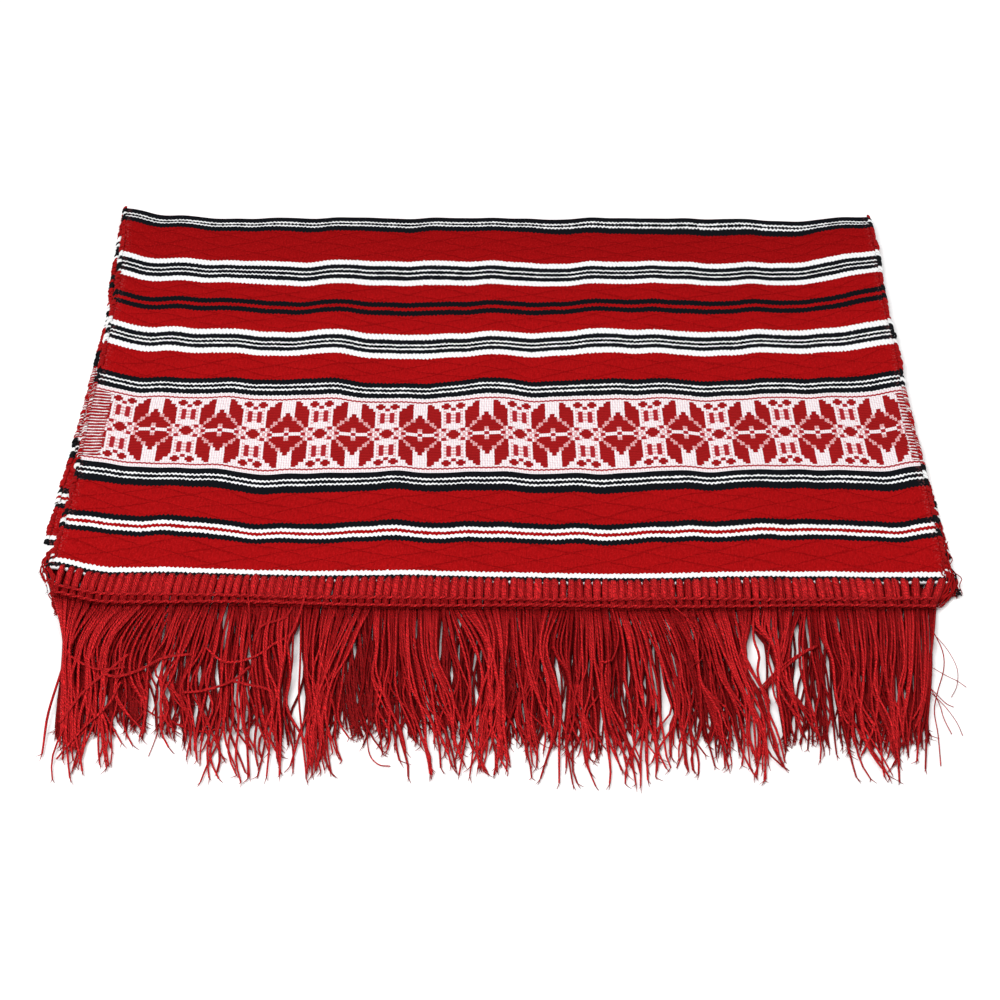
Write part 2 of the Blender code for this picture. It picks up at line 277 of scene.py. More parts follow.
# Strands in metres: the course's distances in front of the root, where the root lies in front
# of the cloth's end, the furthest tip, how far a strand strays and how high strands pile up
FIRST_DISTANCE = 0.0235
SECOND_DISTANCE = 0.0480
ROOT_DEPTH = 0.0126
FRONT_LIMIT = -0.1764
STRAND_SPREAD = 0.0026
PILE_DEPTH = 0.0028
STRAND_SIDES = 4

# Fibres that come loose at a strand's tip: how far along, and the share of the radius there
FIBRES_AT_TIP = 2
FIBRE_STEPS = ((-0.0016, 1.0), (0.0, 1.0), (0.45, 0.8), (1.0, 0.35))

# Threads that stray from the rest: radius, then x, y and height of the points on the way, in mm
STRAY_THREADS = (
    (0.50, (-136.6, -89.5, 3.4), (-142.1, -101.6, 4.6), (-146.9, -111.4, 4.4), (-148.6, -121.3, 4.2),
     (-146.4, -126.9, 4.2), (-141.0, -128.8, 4.2), (-132.7, -125.1, 4.4), (-125.2, -119.4, 4.6),
     (-115.0, -117.1, 4.4)),
    (0.45, (-162.8, -115.3, 3.2), (-157.6, -120.4, 4.0), (-150.4, -124.9, 4.2), (-143.8, -124.8, 3.8),
     (-139.2, -123.2, 3.4)),
    (0.45, (-74.3, -82.5, 5.6), (-76.8, -97.8, 4.8), (-79.2, -106.3, 4.6), (-84.9, -111.4, 4.6),
     (-92.6, -118.8, 4.6), (-102.4, -121.0, 4.6), (-110.2, -113.4, 4.2)),
    (0.42, (-97.2, -79.0, 6.2), (-96.6, -86.0, 5.4), (-95.7, -92.7, 5.0), (-93.8, -112.1, 4.8),
     (-92.6, -118.3, 4.4)),
    (0.50, (-93.0, -122.9, 4.2), (-97.6, -129.6, 4.4), (-103.1, -133.2, 4.4), (-110.2, -135.8, 4.2),
     (-116.8, -136.0, 3.6)),
    (0.48, (-99.7, -130.2, 4.0), (-92.2, -132.5, 4.4), (-84.3, -135.4, 4.2), (-82.7, -142.8, 3.2)),
    (0.42, (-79.5, -90.8, 3.4), (-82.1, -97.9, 4.6), (-90.1, -102.3, 4.8), (-92.5, -110.5, 4.4)),
    (0.45, (-159.4, -150.8, 3.0), (-152.5, -136.5, 4.2), (-144.4, -125.3, 4.2), (-139.0, -117.0, 3.6)),
    (0.45, (-158.4, -167.1, 1.6), (-151.6, -155.0, 3.0), (-143.1, -142.7, 4.0), (-140.0, -131.0, 3.6)),
    (0.30, (-48.7, -150.0, 2.6), (-47.4, -161.6, 0.8), (-44.0, -166.8, 0.5), (-39.6, -167.7, 0.5)),
    (0.48, (42.8, -88.5, 3.4), (44.4, -105.5, 4.6), (41.7, -117.1, 4.6), (37.5, -118.2, 4.2),
     (36.6, -113.5, 3.6)),
    (0.30, (56.0, -76.0, 6.6), (64.4, -87.7, 5.6), (71.5, -96.3, 5.0), (75.5, -105.0, 4.6),
     (75.5, -115.5, 4.4), (71.5, -119.7, 4.2)),
    (0.26, (164.2, -97.0, 3.4), (166.8, -108.7, 3.0), (166.1, -118.1, 2.4), (162.1, -129.5, 2.0),
     (159.5, -139.0, 1.6), (159.2, -150.3, 1.2), (158.1, -164.7, 0.5)),
    (0.22, (158.0, -124.0, 2.6), (161.7, -133.9, 1.4), (162.7, -141.9, 0.8), (164.5, -149.2, 0.4)),
    (0.20, (156.0, -122.0, 2.6), (161.0, -129.5, 1.6), (164.6, -134.4, 0.9), (167.3, -135.9, 0.5)),
    (0.16, (165.0, -100.0, 2.6), (169.2, -108.0, 2.0), (171.4, -117.0, 1.4), (170.2, -125.0, 0.9),
     (167.2, -131.0, 0.6)),
    (0.16, (160.0, -116.0, 2.4), (166.4, -121.0, 1.8), (170.6, -123.4, 1.2), (173.6, -126.0, 0.7)),
    (0.18, (158.0, -128.0, 2.2), (163.6, -136.0, 1.4), (167.0, -143.6, 0.9), (168.4, -150.0, 0.5)),
    (0.20, (-122.0, -138.0, 2.6), (-123.6, -148.3, 1.0), (-124.8, -157.0, 0.4), (-126.1, -164.2, 0.4)),
    (0.45, (-124.0, -144.9, 1.4), (-114.3, -151.1, 1.2), (-106.9, -152.9, 1.2), (-100.3, -150.4, 1.4)),
    (0.42, (-133.5, -137.6, 1.4), (-127.8, -143.5, 1.0), (-120.0, -148.3, 1.0), (-113.0, -150.0, 1.0)),
)
# A lock of strands that lies across the others
CROSS_LOCK = ((95.9, -130.5, 1.2), (104.2, -121.2, 3.6), (112.5, -113.8, 4.8), (119.1, -109.0, 4.6))
CROSS_LOCK_STRANDS = 7
CROSS_LOCK_RADIUS = 0.00044

# Threads that fray off the front corners: how many lie together, their radius and how far they
# stray, how far from the cloth's end the stripe lies that gives the colour, then x, y and height
# of the points on the way, in mm
CORNER_TUFTS = (
    (8, 0.36, 0.7, 12.0, (-174.6, -60.0, 2.6), (-176.6, -63.4, 2.8), (-177.4, -68.0, 2.4),
     (-176.2, -73.0, 1.8), (-174.2, -77.6, 1.4), (-172.2, -82.0, 1.2)),
    (5, 0.36, 0.7, 12.0, (-173.6, -64.0, 4.8), (-174.8, -67.4, 4.6), (-174.8, -71.4, 4.0),
     (-173.0, -76.0, 3.0), (-171.0, -80.6, 2.2)),
    (3, 0.34, 0.7, 3.4, (-176.6, -68.0, 2.0), (-177.4, -71.6, 1.8), (-176.4, -74.8, 1.4),
     (-174.6, -79.0, 1.1), (-172.8, -83.6, 0.9)),
    (2, 0.34, 0.5, 3.4, (-173.2, -80.6, 1.2), (-171.4, -85.6, 1.0), (-169.8, -90.0, 0.9),
     (-168.6, -94.6, 0.7)),
    (2, 0.30, 0.4, 1.2, (-173.4, -65.4, 5.2), (-175.2, -67.6, 5.0), (-175.4, -71.0, 4.2),
     (-174.0, -74.6, 3.4)),
    (5, 0.34, 0.7, 12.0, (-172.6, -78.0, 2.0), (-171.4, -83.0, 1.5), (-170.2, -88.0, 1.1),
     (-168.8, -94.0, 0.9)),
    (10, 0.26, 0.6, 12.0, (175.0, -50.0, 3.4), (176.2, -56.0, 3.0), (176.8, -62.0, 2.6),
     (177.4, -68.0, 2.2), (178.0, -73.0, 1.6), (177.0, -77.6, 1.1)),
    (9, 0.26, 0.9, 12.0, (174.4, -62.0, 4.8), (175.4, -67.0, 4.2), (176.0, -72.0, 3.0),
     (175.2, -77.0, 2.0), (172.8, -80.0, 1.6), (169.0, -83.4, 1.5)),
    (12, 0.38, 0.8, 12.0, (174.6, -68.0, 4.6), (174.8, -72.0, 3.8), (173.4, -76.0, 3.0),
     (170.0, -80.6, 2.4), (166.0, -85.0, 2.0)),
    (2, 0.20, 0.6, 1.2, (175.6, -54.0, 3.2), (176.8, -60.0, 2.8), (177.6, -66.0, 2.2),
     (177.8, -71.0, 1.6)),
    (2, 0.24, 0.5, 1.2, (176.4, -75.0, 1.6), (178.0, -76.4, 1.4), (177.6, -78.4, 1.1)),
)

# How far the top of a bundle leans from its foot
BUNDLE_LEAN = (
    (-0.172, 0.0008), (-0.160, 0.0020), (-0.060, 0.0014), (0.000, 0.0006), (0.080, 0.0002),
    (0.140, -0.0006), (0.156, 0.0004), (0.168, 0.0066),
)

# Course of a heading yarn, from its foot underneath, round the cloth's edge and to its foot on
# top: the share of the way, how far behind the edge it lies, and how much of the way from
# the foot to the edge it has come
HEADING_COURSE = (
    (0.00, -0.0130, 0.00), (0.22, -0.0060, 0.15), (0.34, -0.0008, 0.75), (0.42, 0.0013, 1.00),
    (0.50, 0.0017, 1.00), (0.60, 0.0000, 0.85), (0.75, -0.0060, 0.50), (0.90, -0.0105, 0.15),
    (1.00, -0.0138, 0.00),
)
HEADING_RINGS = 11

# Turns of the twist in a metre of yarn, and the painted shade on the lower strands, which lie under the
# upper ones
STRAND_TURNS = 330.0
HEADING_TURNS = 300.0
STITCH_TURNS = 480.0
LOWER_STRAND_SHADE = 0.55

# The two lines of stitching, from the cloth's end
CHAIN_PLACES = (-0.0098, -0.0134)
STITCH_RADIUS = 0.00043

# Selvedge loops: rings of a tube, how far a loop stands out, and its radius
LOOP_RINGS = 7
LOOP_SIZE = 0.00118
LOOP_RADIUS = 0.00052

# Distance between the copies of a straight tube, before they are bent into place
COPY_STEP = 8.0

# Camera: pinhole fitted to the four corners of the upper layer
CAMERA_PLACE = (-0.0158, -0.6889, 0.5963)
CAMERA_PITCH = 41.87
CAMERA_YAW = -1.38
CAMERA_ROLL = 1.68
CAMERA_LENS = 79.2


# Shared curves of the folded sheet

def ease(t):
    """A smooth step from 0 to 1."""
    t = np.clip(t, 0.0, 1.0)
    return t * t * (3.0 - 2.0 * t)


def eased(rows, x):
    """The value at x in a table of (x, value) rows, with smooth steps between neighbours."""
    places, values = np.array(rows).T
    index = np.clip(np.searchsorted(places, x, side="right") - 1, 0, len(rows) - 2)
    t = ease((x - places[index]) / (places[index + 1] - places[index]))
    return values[index] + (values[index + 1] - values[index]) * t


def mix(a, b, t):
    return a + (b - a) * t


def fold_y(x):
    return FOLD_Y + eased(FOLD_WANDER, x)


def end_y(x, middle):
    """The front edge of a layer at x, given where it lies in the middle of the width."""
    return middle + eased(END_BOW, x)


def ridge_height(x, y):
    """Sum of the soft ridges and hollows at a place on the upper layer."""
    total = 0.0
    for cx, cy, half_width, half_length, height in RIDGES:
        far = ((x - cx) / half_width) ** 2 + ((y - cy) / half_length) ** 2
        total = total + height * np.exp(-far)
    return total


def top_mid_z(x, y):
    """Height of the upper layer's mid-surface, clear of what lies under it."""
    from_crest = (fold_y(x) - y) / CREST_RUN
    z = mix(CREST_MID_Z, TOP_MID_Z, ease(from_crest))
    z = z + ridge_height(x, y) * ease(from_crest)
    over_layer = CLOTH_THICK + LAYER_GAP
    over_heading = HEADING_THICK + LAYER_GAP
    near_heading = ease((end_y(x, LOWER_END_Y) + HEADING_CLEAR - y) / HEADING_RAMP)
    return np.maximum(z, mix(over_layer, over_heading, near_heading) + CLOTH_THICK / 2)


def between(stops, place):
    """The index of the stop before a place, and the eased share of the way to the next one."""
    count = np.interp(place, stops, np.arange(len(stops)))
    count = np.clip(count, 0, len(stops) - 1.001)
    index = count.astype(int)
    return index, ease(count - index)


def skew(x, from_end):
    """How far the weave is pulled along Y at x, this far along the upper layer from its end."""
    stations, rows = zip(*SKEW_ROWS)
    columns = np.array(rows).T * 0.001
    column, right = between(SKEW_X, x)
    row, back = between(stations, from_end)
    near = mix(columns[column, row], columns[column + 1, row], right)
    far = mix(columns[column, row + 1], columns[column + 1, row + 1], right)
    return mix(near, far, back)


def ripple(x, from_end):
    """Small waves of the upper layer: the shift along Y and the height."""
    shift = 0.0
    height = 0.0
    for length, phase, along_y, up, turn in RIPPLES:
        angle = 2.0 * math.pi * x / length + phase + turn * from_end
        shift = shift + along_y * np.sin(angle)
        height = height + up * np.sin(angle + 1.1)
    fade = ease(from_end / 0.025)
    return shift * fade, height * fade


def cloth_points(across, row):
    """Mid-surface points, and the distance along the flat cloth from the end of the upper layer."""
    half = CLOTH_WIDTH / 2
    on_lower = 1.0 - ease((row - LOWER_ROWS) / FOLD_ROWS)
    from_end = np.clip(row / LOWER_ROWS, 0.0, 1.0)
    share = np.clip((row - LOWER_ROWS - FOLD_ROWS) / TOP_ROWS, 0.0, 1.0)
    left = half + mix(eased(UPPER_LEFT, share), eased(LOWER_LEFT, 1.0 - from_end), on_lower)
    right = half + mix(eased(UPPER_RIGHT, share), eased(LOWER_RIGHT, 1.0 - from_end), on_lower)
    x = mix(-left, right, across)

    radius = (CREST_MID_Z - LOWER_MID_Z) / 2
    bend_y = fold_y(x) - radius - CLOTH_THICK / 2
    angle = math.pi * np.clip((row - LOWER_ROWS) / FOLD_ROWS, 0.0, 1.0)
    top_run = FOLD_Y - TOP_END_Y
    upper_y = mix(bend_y, end_y(x, TOP_END_Y), share)
    from_top_end = (1.0 - share) * top_run
    shift, lift = ripple(x, from_top_end)
    upper_y = upper_y + skew(x, from_top_end) + shift
    own_bow = eased(WEAVE_BOW, x) - eased(END_BOW, x)
    upper_y = upper_y + own_bow * share * ease(from_top_end / WEAVE_BOW_RUN)
    lower_y = mix(end_y(x, LOWER_END_Y), bend_y, from_end)

    is_lower = row <= LOWER_ROWS
    is_fold = (row > LOWER_ROWS) & (row < LOWER_ROWS + FOLD_ROWS)
    arc_y = bend_y + radius * np.sin(angle) + shift * ease(angle / math.pi)
    y = np.where(is_lower, lower_y, np.where(is_fold, arc_y, upper_y))
    fold_z = LOWER_MID_Z + radius * (1.0 - np.cos(angle))
    top_z = top_mid_z(x, y) + lift * ease(share * 8.0)
    z = np.where(is_lower, LOWER_MID_Z, np.where(is_fold, fold_z, top_z))

    fold_length = math.pi * radius
    upper_length = FOLD_Y - radius - CLOTH_THICK / 2 - TOP_END_Y
    lower_length = CLOTH_LENGTH - upper_length - fold_length
    fold_along = upper_length + fold_length * (1.0 - angle / math.pi)
    along = np.where(is_lower, CLOTH_LENGTH - from_end * lower_length,
                     np.where(is_fold, fold_along, (1.0 - share) * upper_length))
    return np.stack([x, y, z], -1), along


# Meshes

def new_object(name, mesh, material):
    """Put a mesh in the scene under a name, with one material."""
    mesh.materials.clear()
    mesh.materials.append(material)
    obj = bpy.data.objects.new(name, mesh)
    bpy.context.scene.collection.objects.link(obj)
    return obj


def vertex_array(mesh):
    flat = np.zeros(len(mesh.vertices) * 3)
    mesh.vertices.foreach_get("co", flat)
    return flat.reshape(-1, 3)


def set_vertices(mesh, points):
    mesh.vertices.foreach_set("co", points.astype(np.float32).ravel())
    mesh.update()


def loop_vertices(mesh):
    loops = np.zeros(len(mesh.loops), dtype=int)
    mesh.loops.foreach_get("vertex_index", loops)
    return loops


def add_uvs(mesh, name, per_loop):
    layer = mesh.uv_layers.new(name=name)
    layer.data.foreach_set("uv", per_loop.astype(np.float32).ravel())


def set_uvs(mesh, per_vertex):
    """The place on the flat cloth, from one pair of values for each vertex."""
    add_uvs(mesh, "flat", per_vertex[loop_vertices(mesh)])


def shade_smooth(mesh):
    mesh.polygons.foreach_set("use_smooth", np.ones(len(mesh.polygons), dtype=bool))


def straight_tubes(name, copies, rings, sides):
    """Many copies of one closed straight tube. Returns the mesh with the copy, ring and side of
    each vertex."""
    bm = bmesh.new()
    bmesh.ops.create_circle(bm, segments=sides, radius=1.0, cap_ends=False)
    edges = list(bm.edges)
    for _ in range(rings - 1):
        made = bmesh.ops.extrude_edge_only(bm, edges=edges)["geom"]
        verts = [item for item in made if isinstance(item, bmesh.types.BMVert)]
        edges = [item for item in made if isinstance(item, bmesh.types.BMEdge)]
        bmesh.ops.translate(bm, verts=verts, vec=(0.0, 0.0, 1.0))
    bmesh.ops.holes_fill(bm, edges=[e for e in bm.edges if e.is_boundary], sides=sides)
    bmesh.ops.recalc_face_normals(bm, faces=bm.faces)
    mesh = bpy.data.meshes.new(name)
    bm.to_mesh(mesh)
    bm.free()

    helper = bpy.data.objects.new(name, mesh)
    bpy.context.scene.collection.objects.link(helper)
    row = helper.modifiers.new("copies", "ARRAY")
    row.count = copies
    row.use_relative_offset = False
    row.use_constant_offset = True
    row.constant_offset_displace = (COPY_STEP, 0.0, 0.0)
    graph = bpy.context.evaluated_depsgraph_get()
    repeated = bpy.data.meshes.new_from_object(helper.evaluated_get(graph))
    repeated.name = name
    bpy.data.objects.remove(helper)
    bpy.data.meshes.remove(mesh)

    points = vertex_array(repeated)
    copy = np.round(points[:, 0] / COPY_STEP).astype(int)
    ring = np.round(points[:, 2]).astype(int)
    angle = np.arctan2(points[:, 1], points[:, 0] - COPY_STEP * copy)
    side = np.round(angle / (2.0 * math.pi / sides)).astype(int) % sides
    shade_smooth(repeated)
    return repeated, copy, ring, side


def unit(vectors):
    return vectors / np.maximum(np.linalg.norm(vectors, axis=-1, keepdims=True), 1e-12)


def lay_tubes(name, centres, radii, across=(1.0, 0.0, 0.0), flatten=1.0, sides=STRAND_SIDES,
              tones=None):
    """Bend straight tubes along rows of centres. The UV map runs once round and in metres along.
    Returns the mesh and the tube of each vertex.

    centres has one row of points for each tube, radii one radius for each of those points.
    across is the direction that the tube's section is built on, and flatten scales the section
    along it."""
    copies, rings, _ = centres.shape
    mesh, copy, ring, side = straight_tubes(name, copies, rings, sides)
    tangent = np.zeros_like(centres)
    tangent[:, 1:-1] = centres[:, 2:] - centres[:, :-2]
    tangent[:, 0] = centres[:, 1] - centres[:, 0]
    tangent[:, -1] = centres[:, -1] - centres[:, -2]
    tangent = unit(tangent)
    base = np.broadcast_to(np.array(across), tangent.shape)
    first = unit(base - tangent * np.sum(base * tangent, -1, keepdims=True))
    second = np.cross(tangent, first)
    angle = side * (2.0 * math.pi / sides)
    radius = radii[copy, ring][:, None]
    points = centres[copy, ring]
    points = points + first[copy, ring] * radius * flatten * np.cos(angle)[:, None]
    points = points + second[copy, ring] * radius * np.sin(angle)[:, None]
    set_vertices(mesh, points)

    steps = np.linalg.norm(np.diff(centres, axis=1), axis=-1)
    along = np.concatenate([np.zeros((copies, 1)), np.cumsum(steps, axis=1)], axis=1)
    loops = loop_vertices(mesh)
    starts = np.zeros(len(mesh.polygons), dtype=int)
    mesh.polygons.foreach_get("loop_start", starts)
    owner = np.repeat(np.arange(len(starts)), np.diff(np.append(starts, len(loops))))
    around = side[loops] / sides
    highest = np.zeros(len(starts))
    np.maximum.at(highest, owner, around)
    wraps = (around == 0.0) & (highest[owner] > 0.5)
    around = np.where(wraps, 1.0, around)
    add_uvs(mesh, "yarn", np.stack([around, along[copy[loops], ring[loops]]], -1))
    # The tone attribute carries painted light and shade for each tube or ring, with some random tone
    tone = mesh.attributes.new("yarn_light_and_tone", "FLOAT", "POINT")
    if tones is None:
        tones = np.full(copies, 0.5)
    if tones.ndim == 1:
        tones = np.repeat(tones[:, None], rings, axis=1)
    tone.data.foreach_set("value", tones[copy, ring].astype(np.float32))
    return mesh, copy


# Materials

class Value:
    """A value in a node tree, so that formulas on it read like plain ones."""

    def __init__(self, nodes, socket):
        self.nodes = nodes
        self.socket = socket

    def __add__(self, other):
        return self.nodes.math("ADD", self, other)

    def __sub__(self, other):
        return self.nodes.math("SUBTRACT", self, other)

    def __rsub__(self, other):
        return self.nodes.math("SUBTRACT", other, self)

    def __mul__(self, other):
        return self.nodes.math("MULTIPLY", self, other)

    def __truediv__(self, other):
        return self.nodes.math("DIVIDE", self, other)

    def __pow__(self, other):
        return self.nodes.math("POWER", self, other)

    def __abs__(self):
        return self.nodes.math("ABSOLUTE", self)

    def __gt__(self, other):
        return self.nodes.math("GREATER_THAN", self, other)

    def __lt__(self, other):
        return self.nodes.math("LESS_THAN", self, other)

    def wave(self, top):
        """Up to the top and back down to 0, over and over."""
        return self.nodes.math("PINGPONG", self, top)

    def clamp(self):
        """The same result, kept between 0 and 1."""
        self.socket.node.use_clamp = True
        return self


class Nodes:
    """Short calls that add nodes to one tree and link them."""

    def __init__(self, tree):
        self.tree = tree

    def add(self, kind, **settings):
        node = self.tree.nodes.new(kind)
        for key, value in settings.items():
            setattr(node, key, value)
        return node

    def set(self, socket, value):
        if isinstance(value, Value):
            self.tree.links.new(value.socket, socket)
        else:
            socket.default_value = value

    def feed(self, node, *values):
        """Give a node its inputs in order. Returns what it puts out."""
        for socket, value in zip(node.inputs, values):
            self.set(socket, value)
        return [Value(self, output) for output in node.outputs]

    def math(self, operation, *values):
        return self.feed(self.add("ShaderNodeMath", operation=operation), *values)[0]

    def mix(self, share, a, b):
        node = self.add("ShaderNodeMix", data_type="RGBA")
        for index, value in ((0, share), (6, a), (7, b)):
            self.set(node.inputs[index], value)
        return Value(self, node.outputs[2])

    def ramp(self, share, stops):
        """A stepped ramp of (place, colour) stops."""
        node = self.add("ShaderNodeValToRGB")
        node.color_ramp.interpolation = "CONSTANT"
        elements = node.color_ramp.elements
        elements.remove(elements[-1])
        elements[0].position = 0.0
        elements[0].color = stops[0][1]
        for place, colour in stops[1:]:
            elements.new(place).color = colour
        return self.feed(node, share)[0]

    def noise(self, place, scale, detail=2.0, roughness=0.5):
        """Noise at a place, which is a vector or a tuple of its parts."""
        if isinstance(place, tuple):
            place = self.feed(self.add("ShaderNodeCombineXYZ"), *place)[0]
        node = self.add("ShaderNodeTexNoise")
        for label, value in (("Vector", place), ("Scale", scale), ("Detail", detail),
                             ("Roughness", roughness)):
            self.set(node.inputs[label], value)
        return Value(self, node.outputs["Fac"])

    def object_place(self):
        return Value(self, self.add("ShaderNodeTexCoord").outputs["Object"])

    def uv(self, name):
        """Both parts of the place in a UV map."""
        place = self.feed(self.add("ShaderNodeUVMap", uv_map=name))[0]
        return self.feed(self.add("ShaderNodeSeparateXYZ"), place)[:2]

    def channels(self, colour):
        return self.feed(self.add("ShaderNodeSeparateColor"), colour)


def start_group(name, inputs, outputs):
    """A shader node group of plain values. Returns its nodes and the values that go in."""
    tree = bpy.data.node_groups.new(name, "ShaderNodeTree")
    for in_out, labels in (("INPUT", inputs), ("OUTPUT", outputs)):
        for label in labels:
            tree.interface.new_socket(name=label, in_out=in_out, socket_type="NodeSocketFloat")
    nodes = Nodes(tree)
    return nodes, nodes.feed(nodes.add("NodeGroupInput"))[:len(inputs)]


def finish_group(nodes, *values):
    """Put values out of a group in the order of its outputs. Returns its tree."""
    nodes.feed(nodes.add("NodeGroupOutput"), *values)
    return nodes.tree


def place_group(nodes, tree, *values):
    """What a group puts out, by name."""
    node = nodes.add("ShaderNodeGroup", node_tree=tree)
    return dict(zip(node.outputs.keys(), nodes.feed(node, *values)))


# Each yarn or cell is one channel of a colour while ramps and mixes pick it
STRIPE_CODES = {"red": (1, 0, 0, 1), "white": (0, 1, 0, 1), "black": (0, 0, 1, 1)}
CELL_CODES = {"r": (1, 0, 0, 1), "o": (0, 0, 1, 1), "x": (0, 0.5, 0, 1), ".": (0, 1, 0, 1)}

# Half the step between two weft turns at a stripe's edge, in mm
WEFT_STEP = 0.85


def stripe_group():
    """Which yarn lies at a distance from the nearer end of the cloth: red, white or else black."""
    nodes, (across, along) = start_group("woven_stripes", ("Across", "Along"), ("Red", "White"))
    tooth = across.wave(WEFT_STEP) * 0.75
    sway = nodes.noise((across * 0.05, along * 0.02), 1.0, 2.0)
    jitter = nodes.noise((across * 0.55, along), 1.0, 1.0)
    place = along + (tooth - 0.32) + (sway - 0.5) * 0.9 + (jitter - 0.5) * 1.1
    place = nodes.math("MAXIMUM", place, 0.0)

    # A ramp holds 32 stops, so the stripes are split into two
    back_span = HALF_LENGTH + 2.0 - RAMP_SPLIT
    front, back = [], []
    start = 0.0
    for finish, colour in STRIPES:
        if start < RAMP_SPLIT:
            front.append((start / RAMP_SPLIT, STRIPE_CODES[colour]))
        else:
            back.append(((start - RAMP_SPLIT) / back_span, STRIPE_CODES[colour]))
        start = finish
    colour = nodes.mix(place > RAMP_SPLIT, nodes.ramp(place / RAMP_SPLIT, front),
                       nodes.ramp((place - RAMP_SPLIT) / back_span, back))
    return finish_group(nodes, *nodes.channels(colour)[:2])


def motif_group():
    """The charted band: which cell lies at a place, and how high it stands."""
    nodes, (across, along) = start_group("band_motif", ("Across", "Along"),
                                         ("Raised", "White", "Inside", "Height"))
    wander = nodes.noise((across * 0.30, along), 1.0, 1.0)
    from_middle = abs(along - BAND_MIDDLE)
    row_place = from_middle / BAND_ROW
    shifted = (wander - 0.5) * 0.7 + across - BAND_START
    share = shifted.wave(BAND_REPEAT / 2) / (BAND_REPEAT / 2)

    colour = None
    for index, cells in enumerate(MOTIF_ROWS):
        stops = [(column / len(cells), CELL_CODES[cell]) for column, cell in enumerate(cells)
                 if column == 0 or cell != cells[column - 1]]
        row_colour = nodes.ramp(share, stops)
        if colour is None:
            colour = row_colour
        else:
            colour = nodes.mix(row_place > float(index), colour, row_colour)
    colour = nodes.mix(row_place > float(len(MOTIF_ROWS)), colour, CELL_CODES["."])

    # The thin line that edges the band on each side, broken into stitches
    line_wave = across.wave(1.0) * 0.5 + (BAND_LINE - 0.25)
    on_line = abs(from_middle - line_wave) < BAND_LINE_HALF
    colour = nodes.mix(on_line, colour, CELL_CODES["o"])

    # Near the selvedges the band is plain fine rows of red and white
    side_far = abs(across)
    row_shift = nodes.noise((0.0, along * 1.1), 1.0, 1.0)
    reach = (row_shift - 0.5) * 6.0 + side_far
    side_start = (across > 0.0) * (SELVEDGE_RIGHT - SELVEDGE_LEFT) + SELVEDGE_LEFT
    in_side = (reach > side_start) * (from_middle < BAND_LINE - 1.0)
    slant = side_far * 0.22 + along + wander * 0.8
    side_colour = nodes.mix(slant.wave(0.98) > 0.64, CELL_CODES["r"], CELL_CODES["."])
    colour = nodes.mix(in_side, colour, side_colour)

    raised, white, _ = nodes.channels(colour)
    round_row = nodes.math("SQRT", row_place.wave(0.5) * 2.0)
    return finish_group(nodes, raised, white, from_middle < BAND_HALF, round_row * raised)


def weave_group():
    """Fine relief of the cloth: ribs across, weft threads along, and lattice floats on the red."""
    nodes, (across, along) = start_group("weave_relief", ("Across", "Along"),
                                         ("Grain", "Lattice", "Tone", "Puff"))
    unevenness = nodes.noise((across, along), 0.35, 2.0)
    ribs = (unevenness * 0.8 + across).wave(0.28) * 3.5
    grain = along.wave(0.35) * 1.4 * 0.5 + ribs

    # Crossing slanted lines, in lozenges as wide as the motif's repeat
    lean = (unevenness * 1.2 + across) / BAND_REPEAT
    hop = nodes.noise((across * 0.60, along, 9.0), 0.8, 1.0)
    rise = (hop * 1.3 + along) / LOZENGE_DEPTH
    lines, puffs = [], []
    for sign in (1.0, -1.0):
        off = (lean * sign + rise).wave(0.5)
        fading = nodes.noise((across * 0.09, along * 0.16, 5.0 * sign), 1.0, 1.0)
        width = (fading - 0.40).clamp() * 0.40 + 0.004
        lines.append((nodes.math("SUBTRACT", 1.0, off / width)).clamp())
        puffs.append(off)
    tone = nodes.noise((across * 0.02, along * 0.05), 1.0, 3.0)
    return finish_group(nodes, grain, nodes.math("MAXIMUM", *lines), tone,
                        nodes.math("SQRT", nodes.math("MINIMUM", *puffs)))


def principled(name, roughness, specular):
    """A material with its nodes and its shader."""
    material = bpy.data.materials.new(name)
    material.use_nodes = True
    shader = material.node_tree.nodes["Principled BSDF"]
    shader.inputs["Roughness"].default_value = roughness
    shader.inputs["Specular IOR Level"].default_value = specular
    return material, Nodes(material.node_tree), shader


def dress(nodes, shader, colour, height, distance, strength=1.0):
    """Give a shader its colour and its bump."""
    bump = nodes.add("ShaderNodeBump")
    bump.inputs["Strength"].default_value = strength
    bump.inputs["Distance"].default_value = distance
    nodes.set(bump.inputs["Height"], height)
    nodes.set(shader.inputs["Normal"], Value(nodes, bump.outputs[0]))
    nodes.set(shader.inputs["Base Color"], colour)


def flat_place(nodes):
    """Millimetres across from the middle, and along from the nearer end of the cloth."""
    x, y = nodes.uv("flat")
    from_top = y * 1000.0
    from_lower = nodes.math("SUBTRACT", 2.0 * HALF_LENGTH, from_top)
    return x * 1000.0, nodes.math("MINIMUM", from_top, from_lower)


